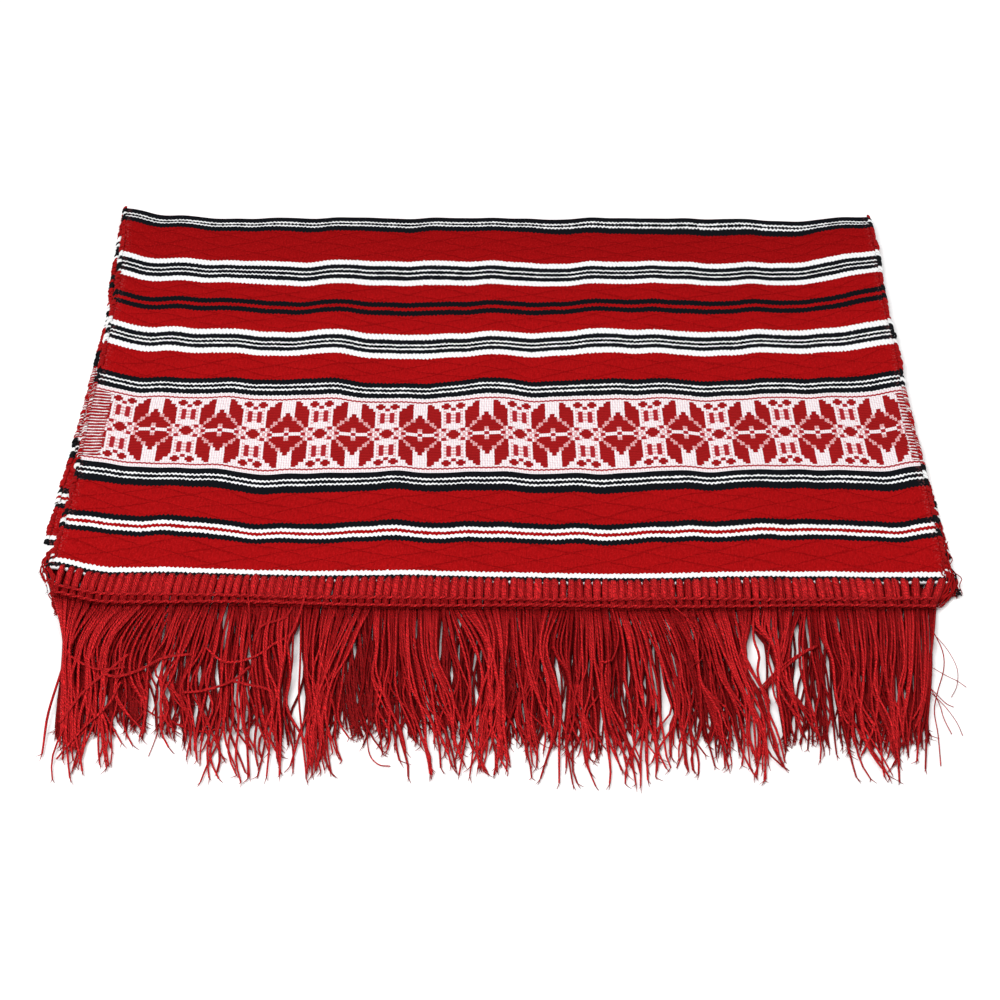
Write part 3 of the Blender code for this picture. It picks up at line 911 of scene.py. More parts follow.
def cloth_material(colours, groups):
    """Weft-faced cloth with stripes, a charted band and a lattice in the red ground."""
    material, nodes, shader = principled("woven_cloth", 0.9, 0.0)
    across, along = flat_place(nodes)
    stripes, motif, relief = (place_group(nodes, groups[key], across, along)
                              for key in ("stripes", "motif", "weave"))
    fleck = nodes.noise((across * 1.3, along), 1.1, 2.0, 0.6)
    streak = nodes.noise((across * 1.5, along * 0.30), 1.0, 2.0, 0.7)

    # The red yarn, deeper in random streaks, with painted shade near the fold, where the light falls
    # off, on the lattice lines and between the threads
    fold_shade = ((along - FOLD_SHADE_FROM) / FOLD_SHADE_RUN).clamp()
    # Painted shade in the grooves between the ribs, in random flecks
    groove_shade = (1.0 - relief["Grain"] * 0.7).clamp() * fleck
    red = nodes.mix(relief["Tone"], colours["red_deep"], colours["red"])
    for share in (fold_shade * 0.62, (streak - 0.36).clamp() * 1.8, relief["Lattice"] * 0.62,
                  groove_shade * 0.75):
        red = nodes.mix(share, red, colours["red_dark"])
    red = nodes.mix((fleck - 0.5).clamp() * 2.2, red, colours["red_float"])
    white = nodes.mix(fleck * 0.25, colours["white"], colours["white_shade"])
    black = nodes.mix(fleck * 0.5, colours["black"], colours["black_shade"])

    # Painted shade in the grooves at the turns of the white weft, at even steps across
    turn = (along * 0.35 + across).wave(WEFT_STEP)
    white = nodes.mix((turn < 0.22) * 0.22, white, colours["thread_shade"])
    plain = nodes.mix(stripes["Red"], nodes.mix(stripes["White"], black, white), red)

    # Specks of the next weft along the selvedges
    edge = ((abs(across) - EDGE_SPECKS) * 0.5).clamp()
    speck = nodes.noise((across * 0.9, along, 3.0), 1.3, 1.0) > 0.60
    plain = nodes.mix(edge * speck * 0.22, plain, colours["red_pale"])

    # Dots where the ground's threads cross, dark in the dotted cells and faint elsewhere
    dot_x = (across - BAND_START).wave(BAND_REPEAT / len(MOTIF_ROWS[0]) / 4)
    dot_y = (along - BAND_MIDDLE).wave(BAND_ROW / 2)
    dots = (dot_x ** 2.0 + dot_y ** 2.0) < DOT_SIZE
    dotted = motif["White"] < 0.75
    dot_colour = nodes.mix(dotted, colours["thread_pink"], colours["red"])
    pinkish = nodes.mix(0.07, white, colours["thread_pink"])
    pale = nodes.mix(dotted * 0.50, pinkish, colours["red_float"])
    ground = nodes.mix(dots * (dotted * 0.10 + 0.60), pale, dot_colour)

    # Flat bars and raised floats on that ground
    bar = nodes.mix(fleck * 0.6, colours["red_flat"], colours["red_dark"])
    float_red = nodes.mix(relief["Tone"], colours["band_light"], colours["band_deep"])
    # Painted shade in the gaps between the raised rows of floats
    row_gap_shade = (1.0 - motif["Height"]).clamp()
    float_red = nodes.mix(row_gap_shade * 0.55, float_red, colours["red_dark"])
    band = nodes.mix(motif["Raised"], bar, float_red)
    band = nodes.mix(motif["White"] > 0.25, band, ground)
    colour = nodes.mix(motif["Inside"], plain, band)

    # Heights in millimetres
    height = (relief["Grain"] * 0.085 + (1.0 - stripes["Red"]) * 0.16
              + relief["Lattice"] * -0.10 + relief["Puff"] * stripes["Red"] * 0.55
              + motif["Height"] * motif["Inside"] * 0.30 + fleck * 0.10)
    dress(nodes, shader, colour, height, 0.001)
    return material


def selvedge_material(colours, groups):
    """Loops of weft at the cloth's side, each in the colour of its stripe."""
    material, nodes, shader = principled("selvedge_yarn", 0.88, 0.08)
    across, along = flat_place(nodes)
    stripes = place_group(nodes, groups["stripes"], across, along)
    around, _ = nodes.uv("yarn")
    fleck = nodes.noise((around * 3.0, along), 1.8, 2.0, 0.6)
    red = nodes.mix(fleck, colours["red"], colours["red_dark"])
    white = nodes.mix(fleck * 0.5, colours["white"], colours["white_shade"])
    plain = nodes.mix(stripes["White"], colours["black"], white)
    plain = nodes.mix(stripes["Red"], plain, red)
    in_band = abs(along - BAND_MIDDLE) < BAND_HALF
    band = nodes.mix(fleck > 0.56, red, white)
    dress(nodes, shader, nodes.mix(in_band, plain, band), fleck, 0.0004, 0.7)
    return material


def twist_group():
    """Plies of a twisted yarn: a height across the plies and a fine mottle."""
    nodes, (turns, plies) = start_group("yarn_twist", ("Turns", "Plies"), ("Height", "Mottle"))
    around, along = nodes.uv("yarn")
    place = nodes.object_place()
    slack = nodes.noise(place, 420.0, 1.0) * 1.5
    wave = ((along * turns + (around + slack)) * plies).wave(0.5)
    return finish_group(nodes, (wave * 2.0) ** 0.75, nodes.noise(place, 900.0, 2.0, 0.7))


def yarn_material(name, colours, groups, turns, under_shade=0.0):
    """Twisted fringe yarn, painted darker between its plies and lit or shaded by each strand's tone."""
    material, nodes, shader = principled(name, 0.62, 0.05)
    twist = place_group(nodes, groups["twist"], turns, 2.0)
    tone = nodes.add("ShaderNodeAttribute", attribute_name="yarn_light_and_tone").outputs["Fac"]
    lit = nodes.mix(Value(nodes, tone), colours["fringe_deep"], colours["fringe_light"])
    # Painted shade in the creases between the plies
    crease = (1.0 - twist["Height"]).clamp()
    lit = nodes.mix(crease * 0.88, lit, colours["fringe_dark"])
    # Random mottle, and painted shade on the lower strands, which lie under the upper ones
    lit = nodes.mix(twist["Mottle"] * 0.30 + under_shade, lit, colours["fringe_dark"])
    dress(nodes, shader, lit, twist["Height"], 0.00035)
    return material


def shared_groups():
    """The node groups, built once and kept by name."""
    makers = {"stripes": ("woven_stripes", stripe_group), "motif": ("band_motif", motif_group),
              "weave": ("weave_relief", weave_group), "twist": ("yarn_twist", twist_group)}
    return {key: bpy.data.node_groups.get(name) or make() for key, (name, make) in makers.items()}


def palette(props):
    """Every yarn colour, from the few that a user sets."""
    red, fringe, white, black = (np.array(colour) for colour in (
        props.red, props.fringe_red, props.white, props.black))
    colours = {
        "red": red,
        "red_deep": red * 0.80,
        "red_dark": red * 0.42,
        "red_float": red * 1.22 + 0.006,
        "red_pale": red * 0.7 + white * 0.16,
        "red_flat": red * 0.88 + white * (0.02, 0.022, 0.030),
        "band_light": red * 0.90 + 0.008,
        "band_deep": red * 0.64 + 0.006,
        "thread_pink": white * (0.72, 0.34, 0.40),
        "thread_shade": white * (0.42, 0.44, 0.56),
        "white": white,
        "white_shade": white * 0.78,
        "black": black,
        "black_shade": black * 2.2,
        # Lit and shaded copies of the fringe yarn, for the painted light and shade on the yarns
        "fringe_light": fringe * 1.72 + 0.020,
        "fringe_deep": fringe * 0.50,
        "fringe_dark": fringe * 0.13,
    }
    return {name: (*map(float, colour), 1.0) for name, colour in colours.items()}


# Pieces

def finish_piece(name, mesh, material, node=None):
    """Put a piece in the scene and hang it on the frame."""
    obj = new_object(name, mesh, material)
    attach(obj, BODY)
    if node:
        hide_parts(node)
    return obj


def grid_mesh(name, columns, rows, size):
    bm = bmesh.new()
    bmesh.ops.create_grid(bm, x_segments=columns, y_segments=rows, size=size)
    mesh = bpy.data.meshes.new(name)
    bm.to_mesh(mesh)
    bm.free()
    return mesh


def build_cloth(props, groups):
    """The folded sheet, as fine as its ridges need, thickened to its own thickness."""
    mesh = grid_mesh("woven_sheet", COLUMNS, SHEET_ROWS, 0.5)
    grid = vertex_array(mesh)
    across = grid[:, 0] + 0.5
    row = np.round((grid[:, 1] + 0.5) * SHEET_ROWS)
    points, along = cloth_points(across, row)
    set_vertices(mesh, points)
    set_uvs(mesh, np.stack([(across - 0.5) * CLOTH_WIDTH, along], -1))
    shade_smooth(mesh)
    obj = finish_piece("woven_sheet", mesh, cloth_material(palette(props), groups),
                       "towel_cloth")
    wall = obj.modifiers.new("thickness", "SOLIDIFY")
    wall.thickness = CLOTH_THICK
    wall.offset = 0.0
    wall.use_even_offset = True


def build_selvedges(props, groups):
    """Small loops of weft where it turns at each side of both layers."""
    rng = np.random.default_rng(11)
    turn = np.linspace(-0.62, 0.62, LOOP_RINGS) * math.pi
    fine = np.linspace(0.0, SHEET_ROWS, 1500)
    centres, places = [], []
    for across, outward in ((0.0, -1.0), (1.0, 1.0)):
        points, along = cloth_points(np.full_like(fine, across), fine)
        steps = np.linalg.norm(np.diff(points, axis=0), axis=1)
        reach = np.concatenate([[0.0], np.cumsum(steps)])
        count = int(reach[-1] / props.selvedge_pitch)
        spots = (np.arange(count) + 0.5) * reach[-1] / count
        base = np.stack([np.interp(spots, reach, points[:, k]) for k in range(3)], -1)
        # The first draw isn't used. It keeps the later ones as they are
        _, lean, more = (rng.normal(0.0, spread, count)[:, None]
                         for spread in (0.0002, 0.00045, 0.00026))
        size = LOOP_SIZE + more
        ring = np.repeat(base[:, None, :], LOOP_RINGS, axis=1)
        ring[:, :, 0] += outward * (size * np.cos(turn) - 0.0003)
        ring[:, :, 1] += (lean + 0.0004) * np.sin(turn)
        ring[:, :, 2] += size * 0.85 * np.sin(turn)
        centres.append(ring)
        side = np.full(count, outward * CLOTH_WIDTH / 2)
        places.append(np.stack([side, np.interp(spots, reach, along)], -1))
    centres = np.concatenate(centres)
    centres[:, :, 2] = np.maximum(centres[:, :, 2], 0.00045)
    mesh, copy = lay_tubes("selvedge_loops", centres, np.full(centres.shape[:2], LOOP_RADIUS),
                           across=(0.0, 1.0, 0.0), flatten=2.1, sides=6)
    points = vertex_array(mesh)
    points[:, 2] = np.maximum(points[:, 2], 0.00005)
    set_vertices(mesh, points)
    set_uvs(mesh, np.concatenate(places)[copy])
    finish_piece("selvedge_loops", mesh, selvedge_material(palette(props), groups))


def bundle_places(fringe):
    """Middle of each bundle at the cloth's edge and at the foot, in x, and the edge's y there."""
    index = np.arange(fringe.bundles)

    def middles(lo, hi):
        pitch = (hi - lo) / (fringe.bundles - 1 + BUNDLE_SHARE)
        return lo + (index + BUNDLE_SHARE / 2) * pitch

    top = middles(fringe.left, fringe.right)
    foot = middles(fringe.left + FOOT_SHIFT[0], fringe.right + FOOT_SHIFT[1])
    return top, foot, end_y(top, fringe.edge), end_y(foot, fringe.edge)


def heading_yarns(name, fringe, radius):
    """Yarns that loop round the cloth's edge, side by side in bundles, down to the stitching."""
    rng = np.random.default_rng(fringe.heading_seed)
    top_x, foot_x, top_y, foot_y = bundle_places(fringe)
    lean = eased(BUNDLE_LEAN, foot_x)
    count = fringe.bundles * fringe.yarns
    centres = np.zeros((count, HEADING_RINGS, 3))
    radii = np.zeros((count, HEADING_RINGS))
    tones = np.zeros((count, HEADING_RINGS))

    # What every yarn has at each of its rings
    turn = np.linspace(0.0, 1.0, HEADING_RINGS)
    stops, behind, come = zip(*HEADING_COURSE)
    share = np.interp(turn, stops, come)
    y_off = np.interp(turn, stops, behind)
    half = np.interp(turn, (0.0, 0.5, 0.72, 1.0), (0.00104, 0.00107, 0.00118, 0.00090))
    lift = np.interp(turn, (0.0, 0.34, 0.42, 0.50, 0.58, 0.75, 0.9, 1.0),
                     (0.0, -0.00115, -0.0008, 0.0007, 0.00110, 0.00105, 0.0005, 0.0))
    crowned = np.interp(turn, (0.4, 0.6, 0.85, 1.0), (0.0, 1.0, 1.0, 0.3))
    # Painted light along each yarn: brightest on the crown, with painted shade towards the foot under
    # the stitching
    lit = np.interp(turn, (0.5, 0.62, 0.82, 0.90, 1.0), (0.85, 1.0, 0.95, 0.30, 0.10))
    sway = rng.normal(0.0, 0.00018, fringe.bundles)
    for b in range(fringe.bundles):
        wide = 1.0 + rng.normal(0.0, 0.09)
        reach = rng.normal(0.0, 0.00022)
        plump = rng.normal(0.0, 0.00012)
        bright = rng.normal(0.0, 0.10)
        middle = fringe.middle_z(top_x[b], top_y[b])
        flat = np.interp(turn, (0.0, 0.5, 1.0), (fringe.foot_z[0], middle, fringe.foot_z[1]))
        base = mix(flat, middle, ease(share * 1.3))
        edge = mix(foot_y[b], end_y(foot_x[b] + lean[b], fringe.edge), share)
        for k in range(fringe.yarns):
            i = b * fringe.yarns + k
            off = (k - (fringe.yarns - 1) / 2) / ((fringe.yarns - 1) / 2)
            own = rng.normal(0.0, 0.00008) + rng.normal(0.0, 0.00009) * np.sin(turn * 9.0)
            rounded = reach + rng.normal(0.0, 0.00012) - 0.0007 * off ** 4
            crown = (0.00050 + plump) * (1.0 - off * off)
            centres[i, :, 0] = foot_x[b] + (lean[b] + sway[b]) * share + off * half * wide + own
            centres[i, :, 1] = edge + y_off + rounded * (turn > 0.35) * share
            centres[i, :, 2] = np.maximum(base + lift + crown * crowned, radius)
            radii[i] = radius * (1.0 + rng.normal(0.0, 0.05))
            # Painted shade on the outer yarns of each bundle, where they turn into the gaps, with
            # random tone for each bundle and yarn
            tones[i] = (0.90 - 0.55 * off * off + bright + rng.normal(0.0, 0.08)) * lit
    return lay_tubes(name, centres, radii, sides=5, tones=np.clip(tones, 0.0, 1.0))[0]


def chain_yarns(name, fringe):
    """Lines of linked stitching across the bundles, each two yarns that cross over."""
    rng = np.random.default_rng(fringe.stitch_seed)
    left = fringe.left + FOOT_SHIFT[0]
    right = fringe.right + FOOT_SHIFT[1]
    rings = int((right - left) / fringe.stitch_pitch) * 4 + 1
    x = np.linspace(left, right, rings)
    centres, radii, tones = [], [], []
    for forward in CHAIN_PLACES:
        wander = 0.0003 * np.sin(x * 61.0 + forward * 900.0)
        for phase in (0.0, math.pi):
            wave = math.pi * (x - left) / fringe.stitch_pitch + phase
            open_up = 1.0 + 0.20 * np.sin(x * 37.0 + forward * 900.0) + 0.18 * rng.normal(size=rings)
            y = end_y(x, fringe.edge) + forward + wander + 0.00040 * open_up * np.sin(wave)
            y = y + 0.00008 * rng.normal(size=rings)
            z = fringe.stitch_z + 0.00030 * np.cos(wave) + 0.00006 * rng.normal(size=rings)
            centres.append(np.stack([x, y, z], -1))
            radii.append(STITCH_RADIUS + 0.00003 * rng.normal(size=rings))
            # Painted light and shade: each yarn lighter where it crosses over, darker where it passes
            # under
            tones.append(np.clip(0.48 + 0.45 * np.cos(wave), 0.0, 1.0))
    return lay_tubes(name, np.array(centres), np.array(radii), across=(0.0, 1.0, 0.0), sides=6,
                     tones=np.array(tones))[0]


def strand_roots(fringe):
    """Where each strand leaves the stitching, in x and y."""
    rng = np.random.default_rng(fringe.root_seed)
    _, foot_x, _, foot_y = bundle_places(fringe)
    offset = np.tile(np.linspace(-0.0010, 0.0010, fringe.strands), fringe.bundles)
    x = np.repeat(foot_x, fringe.strands) + offset
    x = x + rng.normal(0.0, 0.00015, len(x))
    return x, np.repeat(foot_y, fringe.strands) - ROOT_DEPTH


def part_strands(x, y, roots, keeps):
    """Push strands out of the fringes' partings, each to the side where its root lies, as much
    as it keeps to its side."""
    for root_x, *rows in PARTINGS:
        reach, middles, halves = np.array(rows).T * 0.001
        middle = np.interp(-y, -reach, middles)
        half = np.interp(-y, -reach, halves)
        side = np.where(roots > root_x * 0.001, 1.0, -1.0)[:, None]
        apart = np.maximum((x - middle) * side, 0.0)
        pushed = middle + side * np.sqrt(apart ** 2 + half ** 2)
        x = mix(x, pushed, np.clip(half / 0.0008, 0.0, 1.0) * keeps[:, None])
    return x


def frayed_tips(name, centres, radius, seed):
    """Single fibres that come loose at the tip of each strand."""
    rng = np.random.default_rng(seed)
    count = len(centres) * FIBRES_AT_TIP
    tip = np.repeat(centres[:, -1], FIBRES_AT_TIP, axis=0)
    before = np.repeat(centres[:, -2], FIBRES_AT_TIP, axis=0)
    ahead = unit(tip - before)
    reach = rng.uniform(0.0010, 0.0036, count)[:, None]
    aside = rng.normal(0.0, 0.0011, count)
    points = np.zeros((count, len(FIBRE_STEPS), 3))
    for index, (step, _) in enumerate(FIBRE_STEPS):
        points[:, index] = tip + ahead * (step if step < 0.0 else step * reach)
        points[:, index, 0] += aside * max(step, 0.0) ** 1.3
    points[:, :, 2] = np.maximum(points[:, :, 2], radius)
    radii = np.tile([share * radius for _, share in FIBRE_STEPS], (count, 1))
    return lay_tubes(name, points, radii, sides=3, tones=rng.uniform(0.6, 1.0, count))[0]


def soften(x):
    """Even out each row a little, except at its ends."""
    x[:, 1:-1] = 0.5 * x[:, 1:-1] + 0.25 * (x[:, :-2] + x[:, 2:])


def strands(name, fringe, radius):
    """Fringe strands from their roots along the course. Neighbours share a lock that moves as
    one, and each strand leaves it a little more towards its tip. Returns the mesh and its tubes'
    middles."""
    roots, root_y = strand_roots(fringe)
    rng = np.random.default_rng(fringe.strand_seed)
    count = len(roots)
    t = np.linspace(0.0, 1.0, fringe.rings)[None, :]

    # Locks of a few neighbours that gather towards their own middle
    lock = np.repeat(np.arange(count), rng.integers(4, 12, count))[:count]
    locks = lock.max() + 1
    middle = (np.bincount(lock, roots) / np.bincount(lock))[lock]
    gather = rng.uniform(*fringe.gathered, locks)[lock]
    lock_sway = 0.35 + fringe.gathered[1]
    lock_lean = rng.normal(0.0, 0.0012, locks)[lock] * lock_sway
    lock_reach = rng.normal(0.0, 0.0026, locks)[lock]
    lock_level = rng.uniform(0.0, 1.0, locks)[lock]

    # The course: x at the root, at the two distances in front of it, and at the tip
    table = np.array(fringe.course) * 0.001
    first, second, tip_x, tip_y = (np.interp(roots, table[:, 0], table[:, k]) for k in range(1, 5))
    tip_y = tip_y + lock_reach + rng.normal(-0.0010, 0.0020, count)
    tip_y = tip_y + fringe.uneven * rng.uniform(0.0, 1.0, count) ** 1.5
    tip_y = np.maximum(tip_y, FRONT_LIMIT)
    y = root_y[:, None] + (tip_y - root_y)[:, None] * t
    x = np.zeros((count, fringe.rings))
    for i in range(count):
        further = root_y[i] - SECOND_DISTANCE
        last = min(tip_y[i], further - 0.004)
        x[i] = np.interp(-y[i], (-root_y[i], FIRST_DISTANCE - root_y[i], -further, -last),
                         (roots[i], first[i], second[i], tip_x[i]))
    for _ in range(3):
        soften(x)

    # The outermost strands keep to the course
    calm = 1.0 - 0.90 * ease((np.abs(roots) - 0.146) / 0.016)[:, None]
    pull = ease(t * 1.2)
    x = x - (roots - middle)[:, None] * gather[:, None] * pull
    x = x + lock_lean[:, None] * pull * calm
    own = rng.normal(0.0, STRAND_SPREAD, count)
    own = own * np.where(rng.uniform(0.0, 1.0, count) > 0.84, 2.8, 1.0)
    x = x + own[:, None] * t ** 1.8 * calm

    # Waves that a lock makes as one, then those of each strand
    loosen = 0.22 + 0.78 * ease((t - 0.25) / 0.55)
    everyone = np.arange(count)
    for cycles, size, owners, share in (
            (0.9, 0.0015, lock, lock_sway), (1.9, 0.0008, lock, lock_sway),
            (1.2, 0.0013, everyone, 1.0), (2.4, 0.0010, everyone, 1.0),
            (4.2, 0.00045, everyone, 1.0)):
        number = owners.max() + 1
        phase = rng.uniform(0.0, 2.0 * math.pi, number)[owners][:, None]
        amount = rng.normal(0.0, size, number)[owners][:, None] * share
        x = x + amount * np.sin(2.0 * math.pi * cycles * t + phase) * ease(t * 3.0) * loosen * calm

    keeps = np.where(rng.uniform(0.0, 1.0, count) > CROSSING_SHARE, 1.0, 0.15)
    x = part_strands(x, y, roots, keeps)
    soften(x)

    level = (0.30 * lock_level + 0.70 * rng.uniform(0.0, 1.0, count))[:, None]
    settle = ease(t * 5.0) * (1.0 - 0.75 * ease(t * 1.3 - 0.3))
    z = np.interp(y, *fringe.rests) + level * PILE_DEPTH * settle
    z[:, 0] = fringe.root_z
    phase = rng.uniform(0.0, 2.0 * math.pi, count)[:, None]
    z = z + 0.00018 * np.sin(4.0 * math.pi * t + phase) * ease(t * 4.0)
    z = np.maximum(z, radius * 1.02)

    centres = np.stack([x, y, z], -1)
    own_size = (1.0 + rng.normal(0.0, 0.09, count))[:, None]
    radii = radius * own_size * (1.0 - 0.28 * ease((t - 0.80) / 0.20))
    # Painted light and shade: strands higher in the pile lighter, a painted shadow at the roots under
    # the stitching, random tone for each strand, and lighter towards the tips
    shaded = 0.35 + 0.65 * ease((t - 0.01) / 0.15)
    tones = (0.10 + 1.25 * level ** 1.4 + rng.normal(0.0, 0.12, count)[:, None]) * shaded
    tones = tones + 0.30 * ease((t - 0.75) / 0.25)
    return lay_tubes(name, centres, radii, tones=np.clip(tones, 0.0, 1.0))[0], centres


def smooth_path(points, rings):
    """A smooth run of rings through a few points in millimetres."""
    points = np.array(points) * 0.001
    spots = np.linspace(0.0, len(points) - 1.0, rings)
    before = np.vstack([2.0 * points[0] - points[1], points, 2.0 * points[-1] - points[-2]])
    index = np.clip(spots.astype(int), 0, len(points) - 2)
    t = (spots - index)[:, None]
    a, b, c, d = (before[index + k] for k in range(4))
    return 0.5 * (2.0 * b + (c - a) * t + (2.0 * a - 5.0 * b + 4.0 * c - d) * t ** 2
                  + (3.0 * b - a - 3.0 * c + d) * t ** 3)


def stray_threads(name, seed):
    """Single threads and one lock that cross the other strands."""
    rng = np.random.default_rng(seed)
    rings = 30
    centres, radii = [], []
    for radius, *points in STRAY_THREADS:
        path = smooth_path(points, rings)
        path[:, 2] = np.maximum(path[:, 2] + 0.0003, radius * 0.00102)
        centres.append(path)
        radii.append(np.full(rings, radius * 0.001))
    for _ in range(CROSS_LOCK_STRANDS):
        shift = rng.normal(0.0, 0.45, 3) * (1.0, 1.0, 0.6)
        flare = np.linspace(2.2, 0.6, len(CROSS_LOCK))[:, None]
        path = smooth_path(np.array(CROSS_LOCK) + shift * flare, rings)
        path[:, 2] = np.maximum(path[:, 2], 0.0005)
        centres.append(path)
        radii.append(np.full(rings, CROSS_LOCK_RADIUS))
    tones = rng.uniform(0.75, 1.0, len(centres))
    return lay_tubes(name, np.array(centres), np.array(radii), across=(0.0, 0.0, 1.0), sides=6,
                     tones=tones)[0]


def corner_tufts(name, seed):
    """Threads that fray off the front corners. Each takes the colour of one stripe."""
    rng = np.random.default_rng(seed)
    rings = 20
    centres, radii, places = [], [], []
    t = np.linspace(0.0, 1.0, rings)[:, None]
    for threads, radius, stray, from_end, *points in CORNER_TUFTS:
        for _ in range(threads):
            shift = rng.normal(0.0, stray * 0.001, 3) * (0.8, 1.0, 0.5)
            path = smooth_path(points, rings) + shift
            for cycles, size in ((1.3, 0.0006), (2.9, 0.0004)):
                phase = rng.uniform(0.0, 2.0 * math.pi, 3)
                amount = rng.normal(0.0, size, 3) * (1.0, 0.6, 0.6)
                path = path + amount * np.sin(2.0 * math.pi * cycles * t + phase)
            own = radius * 0.001 * (1.0 + rng.normal(0.0, 0.15))
            path[:, 2] = np.maximum(path[:, 2], own * 1.02)
            centres.append(path)
            radii.append(own * (1.0 - 0.3 * ease((t[:, 0] - 0.8) / 0.2)))
            places.append((0.0, from_end * 0.001))
    mesh, copy = lay_tubes(name, np.array(centres), np.array(radii), across=(0.0, 0.0, 1.0), sides=5)
    set_uvs(mesh, np.array(places)[copy])
    return mesh


def aimed_light(name, place, target, size, energy):
    """A square area light at a place, turned to a target."""
    data = bpy.data.lights.new(name, "AREA")
    data.shape = "SQUARE"
    data.size = size
    data.energy = energy
    light = bpy.data.objects.new(name, data)
    bpy.context.scene.collection.objects.link(light)
    light.location = place
    aim = Vector(target) - Vector(place)
    light.rotation_euler = aim.to_track_quat("-Z", "Y").to_euler()


def place_camera():
    """The camera at the photograph's angle, from its pitch, yaw and roll."""
    pitch, yaw, roll = (math.radians(a) for a in (CAMERA_PITCH, CAMERA_YAW, CAMERA_ROLL))
    right = Vector((math.cos(yaw), math.sin(yaw), 0.0))
    ahead = Vector((-math.sin(yaw) * math.cos(pitch), math.cos(yaw) * math.cos(pitch),
                    -math.sin(pitch)))
    up = right.cross(ahead)
    x_axis = right * math.cos(roll) + up * math.sin(roll)
    y_axis = up * math.cos(roll) - right * math.sin(roll)
    data = bpy.data.cameras.new("photo_camera")
    data.lens = CAMERA_LENS
    data.sensor_width = 36.0
    camera = bpy.data.objects.new("photo_camera", data)
    bpy.context.scene.collection.objects.link(camera)
    turned = Matrix((x_axis, y_axis, -ahead)).transposed().to_4x4()
    turned.translation = Vector(CAMERA_PLACE)
    camera.matrix_world = turned
    bpy.context.scene.camera = camera


# The two fringes: where each is sewn on, then its heading, its stitching and its strands
REACH = CLOTH_WIDTH / 2 - HEADING_INSET
UPPER_FRINGE = SimpleNamespace(
    side="upper", node="top_fringe", edge=TOP_END_Y, left=-REACH, right=REACH, bundles=105,
    yarns=5, middle_z=top_mid_z, foot_z=(0.0024, 0.0031), heading_seed=21,
    stitch_z=0.0050, stitch_pitch=0.00332, stitch_seed=31,
    strands=4, rings=17, course=UPPER_COURSE, root_z=0.0028, root_seed=43, strand_seed=44,
    rests=((-0.20, -0.165, -0.149, -0.120, -0.09), (0.0006, 0.0008, 0.0019, 0.0022, 0.0026)),
    uneven=0.019, gathered=(0.10, 0.65), fibre_radius=0.00023, fibre_seed=47)
LOWER_FRINGE = SimpleNamespace(
    side="lower", node="lower_fringe", edge=LOWER_END_Y, left=-REACH - LOWER_LEFT[-1][1],
    right=REACH + LOWER_RIGHT[-1][1], bundles=84,
    yarns=4, middle_z=lambda x, y: HEADING_THICK / 2, foot_z=(0.0006, 0.0013), heading_seed=22,
    stitch_z=0.0024, stitch_pitch=0.0041, stitch_seed=32,
    strands=9, rings=12, course=LOWER_COURSE, root_z=0.0011, root_seed=41, strand_seed=42,
    rests=((-0.20, -0.10, -0.07), (0.0005, 0.0006, 0.0009)),
    uneven=0.006, gathered=(0.0, 0.25), fibre_radius=0.00020, fibre_seed=46)


# What a user may set

def colour_property(name, description, default):
    return bpy.props.FloatVectorProperty(
        name=name, description=description, subtype="COLOR", default=default, min=0.0, max=1.0)


def length_property(name, description, default, low, high):
    return bpy.props.FloatProperty(
        name=name, description=description, default=default, min=low, max=high, unit="LENGTH")


class TowelYarnProps(bpy.types.PropertyGroup):
    red: colour_property("Red yarn", "Colour of the red ground", (0.400, 0.0052, 0.0064))
    white: colour_property("White yarn", "Colour of the white stripes", (0.80, 0.80, 0.80))
    black: colour_property("Black yarn", "Colour of the black stripes", (0.0042, 0.0048, 0.0062))
    fringe_red: colour_property("Fringe yarn", "Colour of the fringes", (0.50, 0.0040, 0.0065))
    selvedge_pitch: length_property(
        "Selvedge pitch", "Distance between loops of the side edges", 0.0021, 0.001, 0.01)
    yarn_radius: length_property(
        "Heading yarn radius", "Half the thickness of a heading yarn", 0.00047, 0.0001, 0.002)
    strand_radius: length_property(
        "Strand radius", "Half the thickness of a fringe strand", 0.00047, 0.0001, 0.002)


class TowelStageProps(bpy.types.PropertyGroup):
    floor_colour: colour_property("Floor", "Colour of the plain floor", (0.92, 0.92, 0.92))
    key_energy: bpy.props.FloatProperty(
        name="Key light", description="Power of the large soft light", default=24.0, unit="POWER")
    fill_strength: bpy.props.FloatProperty(
        name="Surroundings", description="Brightness of the white surroundings", default=0.32)


class TOWEL_OT_woven_cloth(bpy.types.Operator):
    """Lay the folded, striped cloth with its patterned band."""
    bl_idname = "towel.woven_cloth"
    bl_label = "Woven cloth"

    def execute(self, context):
        build_cloth(context.scene.towel_yarn, shared_groups())
        return {"FINISHED"}


class TOWEL_OT_selvedges(bpy.types.Operator):
    """Add the loops of weft along the cloth's sides."""
    bl_idname = "towel.selvedges"
    bl_label = "Selvedge loops"

    def execute(self, context):
        build_selvedges(context.scene.towel_yarn, shared_groups())
        return {"FINISHED"}


class TOWEL_OT_headings(bpy.types.Operator):
    """Loop the bundles of yarn round both ends of the cloth."""
    bl_idname = "towel.headings"
    bl_label = "Fringe headings"

    def execute(self, context):
        props = context.scene.towel_yarn
        material = yarn_material("heading_yarn", palette(props), shared_groups(), HEADING_TURNS)
        for fringe in (UPPER_FRINGE, LOWER_FRINGE):
            name = fringe.side + "_heading"
            finish_piece(name, heading_yarns(name, fringe, props.yarn_radius), material, fringe.node)
        return {"FINISHED"}


class TOWEL_OT_chain_stitch(bpy.types.Operator):
    """Stitch two linked lines across the foot of each heading."""
    bl_idname = "towel.chain_stitch"
    bl_label = "Chain stitch"

    def execute(self, context):
        props = context.scene.towel_yarn
        material = yarn_material("stitch_yarn", palette(props), shared_groups(), STITCH_TURNS)
        for fringe in (UPPER_FRINGE, LOWER_FRINGE):
            name = fringe.side + "_chain_stitch"
            finish_piece(name, chain_yarns(name, fringe), material)
        return {"FINISHED"}


